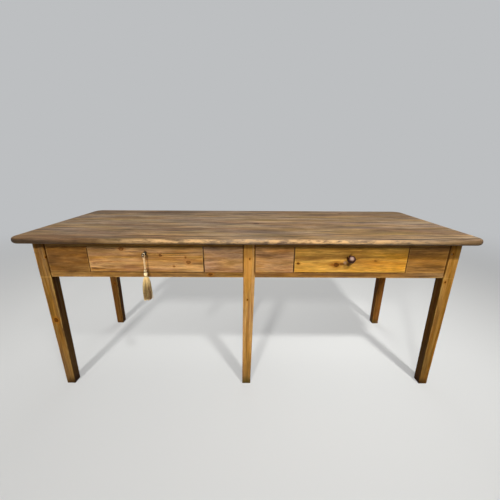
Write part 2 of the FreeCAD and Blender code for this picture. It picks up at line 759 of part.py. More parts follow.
spring_bottom = "lock_bottom + lock_wall"
leaf = block(
    "spring_leaf",
    (leaf_x, f"{leaf_x} + spring_thickness"),
    spring_y,
    (spring_bottom, f"{spring_bottom} + spring_height"),
)
spring_foot = block(
    "spring_foot",
    (leaf_x, "key_x + lock_width / 2 - lock_wall"),
    spring_y,
    (spring_bottom, f"{spring_bottom} + spring_thickness"),
)
keep(join("lock_spring", [leaf, spring_foot]))

escutcheon_solid = join(
    "escutcheon_solid",
    [
        rod(
            "escutcheon_round",
            "+y",
            ("key_x", "escutcheon_front", "key_z"),
            "escutcheon_diameter",
            "escutcheon_proud + escutcheon_depth",
        ),
        block(
            "escutcheon_foot",
            around("key_x", "(2 * slot_half + 2 * escutcheon_wall)"),
            ("escutcheon_front", "front_face + escutcheon_depth"),
            ("key_z - bit_drop - key_fit - escutcheon_wall", "key_z"),
        ),
    ],
)
keep(cut("key_escutcheon", escutcheon_solid, [keyhole]))
cut_from("left_drawer_front", escutcheon_solid)

shank = rod(
    "key_shank",
    "-y",
    ("key_x", "shank_end", "key_z"),
    "shank_diameter",
    "shank_end - bow_y - (bow_diameter + bow_hole) / 4",
)
collar = rod(
    "key_collar",
    "-y",
    ("key_x", "escutcheon_front - key_fit", "key_z"),
    "collar_diameter",
    "collar_width",
)
bit = block(
    "key_bit",
    around("key_x", "bit_thickness"),
    ("shank_end - bit_width", "shank_end"),
    ("key_z - bit_drop", "key_z"),
)
bow_start = ("key_x - bow_thickness / 2", "bow_y", "key_z")
bow = rod("key_bow", "+x", bow_start, "bow_diameter", "bow_thickness")
bow_opening = rod("key_bow_opening", "+x", bow_start, "bow_hole", "bow_thickness")
keep(cut("drawer_key", join("key_solid", [shank, collar, bit, bow]), [bow_opening]))

# Turned knob of the right drawer, and the screw that holds it from inside
knob_neck = "knob_reach - knob_head_depth"
knob_start = ("knob_x", "front_face", "knob_z")
knob = join(
    "knob_solid",
    [
        rod("knob_spigot", "+y", knob_start, "knob_spigot_diameter", "front_thickness"),
        cone(
            "knob_foot",
            "-y",
            knob_start,
            "knob_base_diameter",
            "knob_neck_diameter",
            f"{knob_neck} + knob_head_depth / 4",
        ),
        ball(
            "knob_head",
            "-y",
            ("knob_x", "front_face - knob_reach + knob_head_depth / 2", "knob_z"),
            "knob_diameter",
            "knob_head_depth",
        ),
    ],
)
screw_start = ("knob_x", "drawer_inside", "knob_z")
knob_screw = keep(screw("knob_screw", "-y", screw_start, "screw", "front_thickness + knob_bite"))
keep(cut("drawer_knob", knob, [knob_screw]))
cut_from("right_drawer_front", knob)

# Drawers: lapped dovetails at the front, a housed back, and a bottom in grooves
tail_count = 3
tail_tip_share = 0.7
tail_root_share = 0.5
tail_middle_share = 0.5
nail_shares = (0.15, 0.5, 0.85)


def tail(name, x, level):
    # One dovetail of a drawer side, wider at its tip
    item = doc.addObject("Part::Wedge", name)
    item.Placement.Rotation = FreeCAD.Rotation(x_axis, 180)
    pitch = f"(side_top - side_bottom) / {tail_count}"
    bind(item, Xmin=x[0], Xmax=x[1], X2min=x[0], X2max=x[1], Ymax="lap_depth")
    bind(item, Zmin=f"-{tail_root_share} * {pitch} / 2", Zmax=f"{tail_root_share} * {pitch} / 2")
    bind(item, Z2min=f"-{tail_tip_share} * {pitch} / 2", Z2max=f"{tail_tip_share} * {pitch} / 2")
    item.Ymin = 0
    place(item, "0", "drawer_inside", f"side_bottom + {pitch} * {level}")
    return item


def drawer(side):
    start, end = f"{side}_drawer_start", f"{side}_drawer_end"
    name = f"{side}_drawer"
    inner = (f"{start} + side_thickness", f"{end} - side_thickness")
    housed = (f"{inner[0]} - housing_depth", f"{inner[1]} + housing_depth")
    back_y = ("back_end - back_thickness", "back_end")
    back = block(name + "_back_board", housed, back_y, ("floor_top", "side_top - back_drop"))
    bottom_y = ("drawer_inside - housing_depth", "back_end")
    bottom = block(name + "_bottom_board", housed, bottom_y, ("floor_bottom", "floor_top"))
    nails = []
    for number, share in enumerate(nail_shares, start=1):
        spot = (along((start, end), share), "back_end - back_thickness / 2", "floor_bottom")
        nail_name = f"{name}_nail_{number}"
        nail_length = "bottom_thickness + nail_bite"
        shank_item = rod(nail_name + "_shank", "+z", spot, "nail_diameter", nail_length)
        head_item = rod(nail_name + "_head", "+z", spot, "nail_head", "nail_diameter / 2")
        nails.append(join(nail_name, [shank_item, head_item]))
    nails = keep(group(name + "_nails", nails))
    for column, x in (("left", (start, inner[0])), ("right", (inner[1], end))):
        side_name = f"{name}_side_{column}"
        side_y = ("drawer_inside", "drawer_end")
        board = block(side_name + "_board", x, side_y, ("side_bottom", "side_top"))
        tails = [
            tail(f"{side_name}_tail_{number + 1}", x, number + tail_middle_share)
            for number in range(tail_count)
        ]
        for item in tails:
            cut_from(name + "_front", item)
        cuts[side_name] = [back, bottom]
        finish(side_name, [board] + tails)
    cut_from(name + "_front", bottom)
    face_z = ("drawer_bottom", "drawer_top")
    face = block(name + "_front_board", (start, end), ("front_face", "drawer_inside"), face_z)
    finish(name + "_front", [face])
    keep(cut(name + "_back", back, [nails]))
    keep(cut(name + "_bottom", bottom, [nails]))


drawer("left")
drawer("right")

# Frame pieces, now that all that is let into them is known
for name, solids in {**rail_solids, **panel_solids, **apron_solids}.items():
    if name in cuts:
        finish(name, solids)
    else:
        keep(join(name, solids))

# Tassel: a loop of cord over the shank of the key, a bound head and a skirt of threads
loop = doc.addObject("Part::Torus", "cord_loop")
loop.Placement.Rotation = turns["-y"]
loop.Angle3 = 180
bind(loop, Radius1="loop_radius", Radius2="cord_diameter / 2")
place(loop, "key_x", "tassel_y", "key_z")
strands = [
    rod(f"cord_strand_{number}", "+z", (x, "tassel_y", "head_top"), "cord_diameter", "cord_drop")
    for number, x in enumerate(("key_x - loop_radius", "key_x + loop_radius"), start=1)
]
cord = keep(join("tassel_cord", [loop] + strands))

collar_share = 0.14
bead_middle_share, bead_share = 0.27, 0.4
ball_middle_share, ball_share = 0.72, 0.56
neck_share = 0.2
keep(
    join(
        "tassel_head",
        [
            rod(
                "head_collar",
                "+z",
                ("key_x", "tassel_y", f"head_top - {collar_share} * head_height"),
                "head_collar_diameter",
                f"{collar_share} * head_height",
            ),
            ball(
                "head_bead",
                "+z",
                ("key_x", "tassel_y", f"head_top - {bead_middle_share} * head_height"),
                "head_bead_diameter",
                f"{bead_share} * head_height",
            ),
            ball(
                "head_ball",
                "+z",
                ("key_x", "tassel_y", f"head_top - {ball_middle_share} * head_height"),
                "head_ball_diameter",
                f"{ball_share} * head_height",
            ),
            rod(
                "head_neck",
                "+z",
                ("key_x", "tassel_y", "skirt_top"),
                "skirt_neck_diameter",
                f"{neck_share} * head_height",
            ),
        ],
    )
)

# Half outline of the skirt: shares of its length down from the top, and of its diameter
skirt_shares = [
    (0.05, 0.32),
    (0.14, 0.38),
    (0.35, 0.42),
    (0.6, 0.455),
    (0.85, 0.49),
    (0.97, 0.5),
    (1, 0.45),
]
skirt = doc.addObject("PartDesign::Body", "tassel_skirt")
skirt_outline = sketch_on(skirt, "XZ_Plane", "skirt_outline")
polygon(
    skirt_outline,
    [(0, 0), ("skirt_neck_diameter / 2", 0)]
    + [(f"{width} * skirt_diameter", f"-{down} * skirt_length") for down, width in skirt_shares]
    + [(0, "-skirt_length")],
)
skirt_turned = skirt.newObject("PartDesign::Revolution", "skirt_turned")
skirt_turned.Profile = skirt_outline
skirt_turned.ReferenceAxis = (skirt_outline, ["V_Axis"])
place(skirt, "key_x", "tassel_y", "skirt_top")
keep(skirt)

# Check every object, then write each piece
doc.recompute()
faults = [item.Name for item in doc.Objects if "Invalid" in item.State or "Error" in item.State]
faults += [item.Name for item in pieces if item.Shape.isNull() or not item.Shape.isValid()]
if faults:
    raise RuntimeError("not sound: " + ", ".join(faults))
os.makedirs("parts", exist_ok=True)
for item in pieces:
    item.Label = item.Name
    item.Shape.exportStep(f"parts/{item.Label}.step")

section = math.pi * sheet.cord_diameter**2 / 4
cord_length = 2 * sheet.cord_drop + math.pi * sheet.loop_radius
print("cord", round(cord_length, 1), "long, bend", sheet.loop_radius)
print("cord volume", round(cord.Shape.Volume), "and section times length", round(section * cord_length))
print(len(pieces), "pieces")
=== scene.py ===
import json
import math
import random

import bmesh
import bpy
from mathutils import Matrix, Vector, noise


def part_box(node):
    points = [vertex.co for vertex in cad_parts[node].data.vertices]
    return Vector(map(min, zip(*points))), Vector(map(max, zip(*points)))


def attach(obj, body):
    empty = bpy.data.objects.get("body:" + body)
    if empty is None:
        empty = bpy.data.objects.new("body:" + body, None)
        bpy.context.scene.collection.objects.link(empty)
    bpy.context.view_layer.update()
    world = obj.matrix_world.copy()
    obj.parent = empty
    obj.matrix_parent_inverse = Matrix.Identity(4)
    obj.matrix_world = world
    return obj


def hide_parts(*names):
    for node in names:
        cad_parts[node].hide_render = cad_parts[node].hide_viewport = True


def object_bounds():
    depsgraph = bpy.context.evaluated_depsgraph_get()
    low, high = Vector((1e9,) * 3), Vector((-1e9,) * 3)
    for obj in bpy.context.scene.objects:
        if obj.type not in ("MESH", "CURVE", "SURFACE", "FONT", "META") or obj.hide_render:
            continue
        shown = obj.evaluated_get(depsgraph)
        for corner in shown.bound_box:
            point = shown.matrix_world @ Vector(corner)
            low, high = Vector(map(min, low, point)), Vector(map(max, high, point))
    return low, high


# Refectory table in old pine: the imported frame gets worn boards, a turned knob, a key and a tassel
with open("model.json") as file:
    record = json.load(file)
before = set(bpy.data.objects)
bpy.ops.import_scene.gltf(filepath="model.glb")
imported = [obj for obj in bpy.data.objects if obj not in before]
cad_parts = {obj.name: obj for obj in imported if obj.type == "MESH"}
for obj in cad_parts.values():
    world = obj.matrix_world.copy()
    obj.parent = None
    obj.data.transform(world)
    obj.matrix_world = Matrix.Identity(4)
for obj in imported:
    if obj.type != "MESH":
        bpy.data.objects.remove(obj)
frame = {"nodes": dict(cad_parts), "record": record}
cadLow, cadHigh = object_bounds()
nodes = frame["nodes"]
record = frame["record"]
bodyOf = {node: body for body, members in record["behaviour"]["bodies"].items() for node in members}
joints = record["behaviour"]["joints"]
pivots = {joint["name"]: Vector(joint["pos_m"]) for joint in joints if "pos_m" in joint}
scene = bpy.context.scene
mm = 0.001
print("frame loaded:", len(nodes), "nodes")


def addObject(name, data):
    thing = bpy.data.objects.new(name, data)
    scene.collection.objects.link(thing)
    return thing


# Camera as the photograph was taken: a wide lens, chest high, tilted down
shot = {
    "lens": 19.09,
    "sensor": 36,
    "place": (2.5, -1356.2, 1053.3),
    "down": math.radians(17.9),
    "turned": -0.0052,
    "rolled": 0.0062,
}


def addCamera():
    cosDown, sinDown = math.cos(shot["down"]), math.sin(shot["down"])
    forward = Vector((-math.sin(shot["turned"]) * cosDown, math.cos(shot["turned"]) * cosDown, -sinDown))
    level = Vector((math.cos(shot["turned"]), math.sin(shot["turned"]), 0))
    upright = level.cross(forward)
    right = level * math.cos(shot["rolled"]) + upright * math.sin(shot["rolled"])
    up = upright * math.cos(shot["rolled"]) - level * math.sin(shot["rolled"])
    data = bpy.data.cameras.new("camera")
    data.lens = shot["lens"]
    data.sensor_width = shot["sensor"]
    camera = addObject("camera", data)
    turn = Matrix((right, up, -forward)).transposed().to_4x4()
    camera.matrix_world = Matrix.Translation(Vector(shot["place"]) * mm) @ turn
    scene.camera = camera


addCamera()
print("camera placed")


# Small tools: colours, nodes of a material, finished pieces
def linear(code):
    values = []
    for start in (1, 3, 5):
        value = int(code[start:start + 2], 16) / 255
        values.append(value / 12.92 if value <= 0.04045 else ((value + 0.055) / 1.055) ** 2.4)
    return (*values, 1)


def addNode(tree, kind, inputs=None, **settings):
    # An input may be another node's output, a value or a colour code
    node = tree.nodes.new("ShaderNode" + kind)
    for name, value in settings.items():
        setattr(node, name, value)
    for socket, value in (inputs or {}).items():
        if isinstance(value, bpy.types.NodeSocket):
            tree.links.new(value, node.inputs[socket])
        else:
            node.inputs[socket].default_value = linear(value) if isinstance(value, str) else value
    return node


def doMath(tree, operation, *values):
    return addNode(tree, "Math", dict(enumerate(values)), operation=operation).outputs[0]


def doVector(tree, operation, *values):
    outputs = addNode(tree, "VectorMath", dict(enumerate(values)), operation=operation).outputs
    return outputs["Value" if operation in ("LENGTH", "DISTANCE") else "Vector"]


def ranged(tree, value, low, high, start=0.0, end=1.0, curve="SMOOTHSTEP"):
    # low and high become start and end
    inputs = {0: value, 1: low, 2: high, 3: start, 4: end}
    return addNode(tree, "MapRange", inputs, interpolation_type=curve).outputs[0]


def mixed(tree, factor, first, second, blend="MIX"):
    inputs = {0: factor, 6: first, 7: second}
    return addNode(tree, "Mix", inputs, data_type="RGBA", blend_type=blend).outputs[2]


def painted(tree, layer):
    return addNode(tree, "Attribute", attribute_name=layer).outputs["Fac"]


def noisy(tree, place, scale, detail):
    return addNode(tree, "TexNoise", {"Vector": place, "Scale": scale, "Detail": detail}).outputs[0]


def startMaterial(name):
    material = bpy.data.materials.new(name)
    material.use_nodes = True
    tree = material.node_tree
    tree.nodes.clear()
    return material, tree, addNode(tree, "TexCoord").outputs["Object"]


def finishMaterial(tree, colour, rough, height, strength, depth, others):
    # The shader with its fine relief, depth in mm
    relief = {"Height": height, "Strength": strength, "Distance": depth * mm}
    bump = addNode(tree, "Bump", relief).outputs[0]
    inputs = {"Base Color": colour, "Roughness": rough, "Normal": bump, **others}
    shader = addNode(tree, "BsdfPrincipled", inputs).outputs[0]
    addNode(tree, "OutputMaterial", {0: shader})


def dress(mesh, material):
    mesh.materials.clear()
    mesh.materials.append(material)


def addPiece(name, mesh, material, body):
    piece = addObject(name, mesh)
    dress(mesh, material)
    for polygon in mesh.polygons:
        polygon.use_smooth = True
    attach(piece, body)
    return piece


def meshFrom(bm, name):
    mesh = bpy.data.meshes.new(name)
    bm.to_mesh(mesh)
    bm.free()
    return mesh


# Old pine: rings round a pith beside the board, so that faces show long arches and ends show arcs.
# Streaks and patches are the dirt and wax of a hundred years, and worn arrises are paler.
turnToX = {"X": (0, 0, 0), "Y": (0, 0, -math.pi / 2), "Z": (0, math.pi / 2, 0)}
facing = {"front": (0, 2), "above": (0, 1), "side": (1, 2)}
pineDefaults = {
    "grain": "X",
    "face": "front",
    "early": "#d4aa65",  # soft wood between the rings, before its wax
    "late": "#9f703b",  # the hard dark edge of each ring
    "dirt": "#5b3f28",  # streaks where dirt lies in the grain
    "pale": "#f5d38f",  # streaks that are rubbed bright
    "tint": "#905f44",  # broad reddish stains
    "patch": "#97773f",  # broad patches of old yellow wax
    "waxAndShade": "#ffffff",  # the tone that years of wax give all of these; on the end and rear legs it is also painted shade
    "worn": "#d3a85b",  # rubbed arrises, and on the top's front edge also a painted highlight
    "gap": "#3a1604",  # dirt in the joints, and the tone of painted shade
    "knot": "#4c2502",
    "halo": "#9a5c10",  # resin-stained wood round a knot
    "crack": "#190b02",
    "ring": 5.5,  # ring spacing, mm
    "pith": (25, -90),  # pith from the middle of the board, mm
    "wander": 38,  # how far the rings wander along the board, mm
    "streak": (260, 13),  # length and width of the streaks, mm
    "stain": (430, 48),  # length and width of the stains, mm
    "blotch": (70, 17),  # length and width of the blotches, mm
    "rings": 0.5,
    "dirtShare": 0.45,
    "paleShare": 0.45,
    "tintShare": 0.45,
    "patchShare": 0.5,
    "fibre": 0.22,
    "figure": 0.18,  # how far blotches darken and lighten
    "fade": 0.15,  # how far stains lose their colour
    "wearBreak": (0.36, 0.58),  # between these the rubbed wood shows in spots
    "rough": 0.5,
    "ior": 1.24,  # dry old wax shines less than the wood's own 1.5
    "relief": 0.5,
    "knots": (),  # places on the face and half sizes, mm
    "cracks": (),
    "marks": (),  # the same with a colour and how strong it is
    "seed": 1,
}
# Levels of noise, or distances in half sizes of a spot, between which a tone fades in
fadeIn = {
    "patch": (0.46, 0.64), "tint": (0.46, 0.64), "pale": (0.5, 0.66), "dirt": (0.5, 0.68),
    "late": (0.55, 1.0), "bulge": (4.0, 0.0), "halo": (2.9, 0.8), "knot": (1.3, 0.85), "rim": (0.6, 1.0),
    "mark": (1.4, 0.3), "crack": (1.3, 0.5),
}


def nearest(tree, place, spots, axes):
    # How far from the nearest of some spots, in their own half sizes
    found = None
    for spot in spots:
        scale, shift = [0, 0, 0], [0, 0, 0]
        for number, axis in enumerate(axes):
            scale[axis] = 1 / (spot[number + 2] * mm)
            shift[axis] = -spot[number] / spot[number + 2]
        length = doVector(tree, "LENGTH", doVector(tree, "MULTIPLY_ADD", place, scale, shift))
        found = length if found is None else doMath(tree, "MINIMUM", found, length)
    return found


def makePine(name, middle, **changes):
    look = {**pineDefaults, **changes}
    material, tree, place = startMaterial(name)
    centred = doVector(tree, "SUBTRACT", place, middle)
    lengthwise = addNode(tree, "Mapping", {0: centred, 2: turnToX[look["grain"]]}).outputs[0]
    seed = look["seed"]
    shifted = doVector(tree, "ADD", lengthwise, (seed * 3.7, seed * 1.3, seed * 2.1))

    def grainNoise(along, across, detail=2.0, roughness=0.5):
        # Features that many millimetres long and wide: a value and a colour
        scale = (1 / (along * mm), 1 / (across * mm), 1 / (across * mm))
        spread = doVector(tree, "MULTIPLY", shifted, scale)
        inputs = {"Vector": spread, "Scale": 1.0, "Detail": detail, "Roughness": roughness}
        return addNode(tree, "TexNoise", inputs).outputs

    def laid(colour, tone, value, share=1.0):
        # A tone over the colour, where the value lets it fade in
        return mixed(tree, ranged(tree, value, *fadeIn[tone], 0.0, share), colour, look[tone])

    def swing(colour, reach):
        # Noise as a shift to both sides
        return doVector(tree, "MULTIPLY", doVector(tree, "SUBTRACT", colour, (0.5, 0.5, 0.5)), reach)

    reach = look["wander"] * mm * 2
    wander = swing(grainNoise(330, 110, 3.0)[1], (0, reach, reach))
    pith = (0, -look["pith"][0] * mm, -look["pith"][1] * mm)
    ringPlace = doVector(tree, "ADD", doVector(tree, "ADD", lengthwise, pith), wander)
    phase = doMath(tree, "MULTIPLY", grainNoise(60, 5)[0], 5.0)
    uneven = swing(grainNoise(30, 9, 4.0, 0.7)[1], (0.016, 0.01, 0.01))
    spotPlace = doVector(tree, "ADD", place, uneven)
    calmer = addNode(tree, "VectorMath", {0: uneven, "Scale": 0.35}, operation="SCALE").outputs[0]
    crackPlace = doVector(tree, "ADD", place, calmer)
    axes = facing[look["face"]]
    if look["knots"]:
        # The rings bulge round each knot
        knotFar = nearest(tree, spotPlace, look["knots"], axes)
        phase = doMath(tree, "ADD", phase, ranged(tree, knotFar, *fadeIn["bulge"], 0.0, 14.0))
    waves = addNode(
        tree, "TexWave",
        {"Vector": ringPlace, "Scale": math.pi / 10 / (look["ring"] * mm), "Phase Offset": phase},
        wave_type="RINGS", rings_direction="X", wave_profile="SAW",
    ).outputs["Fac"]
    late = ranged(tree, waves, *fadeIn["late"])
    streaks = addNode(tree, "SeparateColor", {0: grainNoise(*look["streak"], 4.0, 0.6)[1]}).outputs
    stains = addNode(tree, "SeparateColor", {0: grainNoise(*look["stain"], 3.0, 0.6)[1]}).outputs
    fibres = grainNoise(45, 1.6, 2.0, 0.6)[0]
    blotches = grainNoise(*look["blotch"], 3.0, 0.6)[0]

    lateShare = doMath(tree, "MULTIPLY", late, look["rings"])
    colour = mixed(tree, lateShare, look["early"], look["late"])
    layers = (("patch", stains[0]), ("tint", stains[1]), ("pale", streaks[1]), ("dirt", streaks[0]))
    for tone, value in layers:
        colour = laid(colour, tone, value, look[tone + "Share"])
    fibreShade = ranged(tree, fibres, 0.25, 0.75, 1 + look["fibre"], 1 - look["fibre"])
    blotchShade = ranged(tree, blotches, 0.32, 0.68, 1 + look["figure"], 1 - look["figure"])
    shade = doMath(tree, "MULTIPLY", fibreShade, blotchShade)
    fullness = ranged(tree, stains[2], 0.35, 0.65, 1 + look["fade"] / 2, 1 - look["fade"])
    inputs = {"Saturation": fullness, "Value": shade, "Color": colour}
    colour = addNode(tree, "HueSaturation", inputs).outputs[0]
    colour = mixed(tree, 1.0, colour, look["waxAndShade"], "MULTIPLY")
    # Rubbed arrises are paler in spots; on the top's front edge the pale tone is also a painted highlight
    spots = ranged(tree, grainNoise(45, 14, 4.0, 0.65)[0], *look["wearBreak"])
    rubbed = doMath(tree, "MULTIPLY", painted(tree, "wearAndHighlight"), spots)
    colour = mixed(tree, rubbed, colour, look["worn"])
    height = doMath(tree, "ADD", fibres, doMath(tree, "MULTIPLY", late, 0.5))
    if look["knots"]:
        # A stained halo, then a dark rim, then rings within the knot
        colour = laid(colour, "halo", knotFar, 0.7)
        swirl = doMath(tree, "SINE", doMath(tree, "MULTIPLY", knotFar, 13.0))
        ringShare = ranged(tree, swirl, -0.6, 1.0, 0.0, 0.4)
        heart = mixed(tree, ringShare, look["knot"], look["halo"])
        heart = mixed(tree, ranged(tree, knotFar, *fadeIn["rim"], 0.0, 0.7), heart, look["crack"])
        colour = mixed(tree, ranged(tree, knotFar, *fadeIn["knot"]), colour, heart)
    for *spot, stain, share in look["marks"]:
        markFar = nearest(tree, spotPlace, [spot], axes)
        colour = mixed(tree, ranged(tree, markFar, *fadeIn["mark"], 0.0, share), colour, stain)
    if look["cracks"]:
        split = ranged(tree, nearest(tree, crackPlace, look["cracks"], axes), *fadeIn["crack"])
        colour = mixed(tree, split, colour, look["crack"])
        height = doMath(tree, "SUBTRACT", height, doMath(tree, "MULTIPLY", split, 1.5))
    # Joint dirt and painted shade, from the grime-and-shade layer, darken towards the gap tone
    colour = mixed(tree, painted(tree, "grimeAndShade"), colour, look["gap"])
    rough = ranged(tree, fibres, 0.2, 0.8, look["rough"] - 0.06, look["rough"] + 0.08)
    finishMaterial(tree, colour, rough, height, look["relief"], 0.5, {"IOR": look["ior"]})
    return material


def makeMetal(name, colour, dark, rough):
    # Old metal: darker where it has tarnished, brighter on fine scratches
    material, tree, place = startMaterial(name)
    tarnish = ranged(tree, noisy(tree, place, 1 / (4 * mm), 4.0), 0.35, 0.65)
    base = mixed(tree, tarnish, colour, dark)
    grit = noisy(tree, place, 1 / (0.5 * mm), 2.0)
    spread = ranged(tree, grit, 0.3, 0.7, rough - 0.1, rough + 0.1, "LINEAR")
    finishMaterial(tree, base, spread, grit, 0.18, 0.1, {"Metallic": 1.0})
    return material


def makeThread(name, lit, shade, rust, lay, along, sheen=0.3):
    # Cotton floss: each thread has its own tone between a lit and a shaded colour; a painted shade layer
    # turns the free ends below the dome and the narrow waists of the head to the shaded colour
    material, tree, place = startMaterial(name)
    spread = doVector(tree, "MULTIPLY", place, (1 / (lay * mm), 1 / (lay * mm), 1 / (along * mm)))
    level = ranged(tree, noisy(tree, spread, 1.0, 2.0), 0.45, 0.85)
    level = doMath(tree, "MAXIMUM", level, painted(tree, "paintedShade"))
    hue = ranged(tree, noisy(tree, spread, 0.24, 1.0), 0.44, 0.56)
    base = mixed(tree, level, lit, mixed(tree, hue, shade, rust))
    twist = noisy(tree, place, 1 / (0.6 * mm), 1.0)
    others = {"IOR": 1.2, "Sheen Weight": sheen, "Sheen Roughness": 0.4}
    finishMaterial(tree, base, 0.62, twist, 0.4, 0.15, others)
    return material


# Worn boards: a copy of a node with its arrises rounded and rubbed
hair = 0.01 * mm  # places nearer than this are taken as one
boardWearAndShade = {
    "strip": 7,  # width of the rubbed wood beside an arris
    "chew": 0.25,
    "behind": 1.2,  # further behind the face than this, a joint is full of dirt, and the face gets painted shade
    # How dark the set-back faces are, with dirt and painted shade
    "setBackDirtAndShade": 0.85,
    "spared": 0.25,  # share of the dirt on a rail where no drawer stands above it
}


def chance(place):
    # Smooth noise from 0 to 1
    return 0.5 + 0.5 * noise.noise(place)


def addBox(bm, middle, size):
    placed = Matrix.Translation(middle) @ Matrix.Diagonal((*size, 1))
    return bmesh.ops.create_cube(bm, size=1, matrix=placed)["verts"]


def bevel(bm, edges, offset, segments):
    bmesh.ops.bevel(
        bm, geom=edges, offset=offset * mm, offset_type="OFFSET", segments=segments, profile=0.5,
        affect="EDGES", material=-1, clamp_overlap=True,
    )


def cutAcross(bm, axis, level, **settings):
    point, normal = Vector((0, 0, 0)), Vector((0, 0, 0))
    point[axis], normal[axis] = level, 1
    geometry = bm.verts[:] + bm.edges[:] + bm.faces[:]
    bmesh.ops.bisect_plane(bm, geom=geometry, dist=hair / 10, plane_co=point, plane_no=normal, **settings)


def wearAndShadeLayers(bm):
    return [bm.verts.layers.float.new(name) for name in ("wearAndHighlight", "grimeAndShade")]


def finishBoard(bm, node, material):
    bmesh.ops.triangulate(bm, faces=[face for face in bm.faces if len(face.verts) > 4])
    name = node + "_worn"
    piece = addPiece(name, meshFrom(bm, name), material, bodyOf[node])
    piece.modifiers.new("weighted", "WEIGHTED_NORMAL").keep_sharp = True
    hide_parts(node)


def rise(edge):
    return abs(edge.verts[0].co.z - edge.verts[1].co.z)


def isArris(vertices, low, high):
    shared = 0
    for axis in range(3):
        for level in (low[axis], high[axis]):
            if all(abs(vertex.co[axis] - level) < 2 * hair for vertex in vertices):
                shared += 1
    return shared >= 2


def boardBox(node, axis, side):
    # The reach of a board without its tenons, read from the flat face on that side
    low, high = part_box(node)
    level = high[axis] if side > 0 else low[axis]
    points = [vertex.co for vertex in nodes[node].data.vertices]
    points = [point for point in points if abs(point[axis] - level) < 2 * hair]
    for other in range(3):
        if other != axis:
            low[other] = min(point[other] for point in points)
            high[other] = max(point[other] for point in points)
    return low, high


def markWearAndShade(bm, low, high, strip, axis, side, joint, dirt, under):
    # Rubbed within a strip of the arrises, dirty in the joints on the other faces, and darker with dirt and
    # painted shade on faces set back from the front
    wearAndHighlight, grimeAndShade = wearAndShadeLayers(bm)
    face = high[axis] if side > 0 else low[axis]
    for vertex in bm.verts:
        place = vertex.co
        gaps = [min(abs(at - first), abs(last - at)) for at, first, last in zip(place, low, high)]
        rub = max(0.0, 1 - sorted(gaps)[1] / strip)
        vertex[wearAndHighlight] = rub * chance(place * 14)
        behind = abs(place[axis] - face)
        gaps[axis] = 1
        # Faces set back from the front get dirt and painted shade
        if behind > boardWearAndShade["behind"] * mm:
            vertex[grimeAndShade] = boardWearAndShade["setBackDirtAndShade"]
        elif min(gaps) < joint:
            beside, below, above = dirt
            share = beside if gaps[0] < joint else above if high.z - place.z < joint else below
            if under and not under[0].x < place.x < under[1].x:
                share *= boardWearAndShade["spared"]
            if share:
                vertex[grimeAndShade], vertex[wearAndHighlight] = share, 0


def wearBoard(node, material, axis, side, arris, pitch, joint=0.0, dirt=(0, 0, 0), under=None):
    strip = boardWearAndShade["strip"]
    low, high = boardBox(node, axis, side)
    bm = bmesh.new()
    bm.from_mesh(nodes[node].data)
    bmesh.ops.remove_doubles(bm, verts=bm.verts[:], dist=hair / 5)
    bmesh.ops.dissolve_limit(bm, angle_limit=math.radians(0.5), verts=bm.verts[:], edges=bm.edges[:])
    bevel(bm, [edge for edge in bm.edges if isArris(edge.verts, low, high)], arris, 2)
    for number in range(3):
        if high[number] - low[number] > 3 * strip * mm:
            for inset in (strip, joint + 1.2) if joint else (strip,):
                cutAcross(bm, number, low[number] + inset * mm)
                cutAcross(bm, number, high[number] - inset * mm)
    longest = max(range(3), key=lambda number: high[number] - low[number])
    steps = int((high[longest] - low[longest]) / (pitch * mm))
    for step in range(1, steps):
        cutAcross(bm, longest, low[longest] + (high[longest] - low[longest]) * step / steps)
    markWearAndShade(bm, low, high, strip * mm, axis, side, joint * mm, dirt, under)
    wearAndHighlight = bm.verts.layers.float["wearAndHighlight"]
    middle = (low + high) / 2
    for vertex in bm.verts:
        if vertex[wearAndHighlight] > 0.5:
            inward = middle - vertex.co
            inward[longest] = 0
            vertex.co += inward.normalized() * abs(noise.noise(vertex.co * 35)) * boardWearAndShade["chew"] * mm
    finishBoard(bm, node, material)


def middleOf(node):
    low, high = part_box(node)
    return tuple((low + high) / 2)


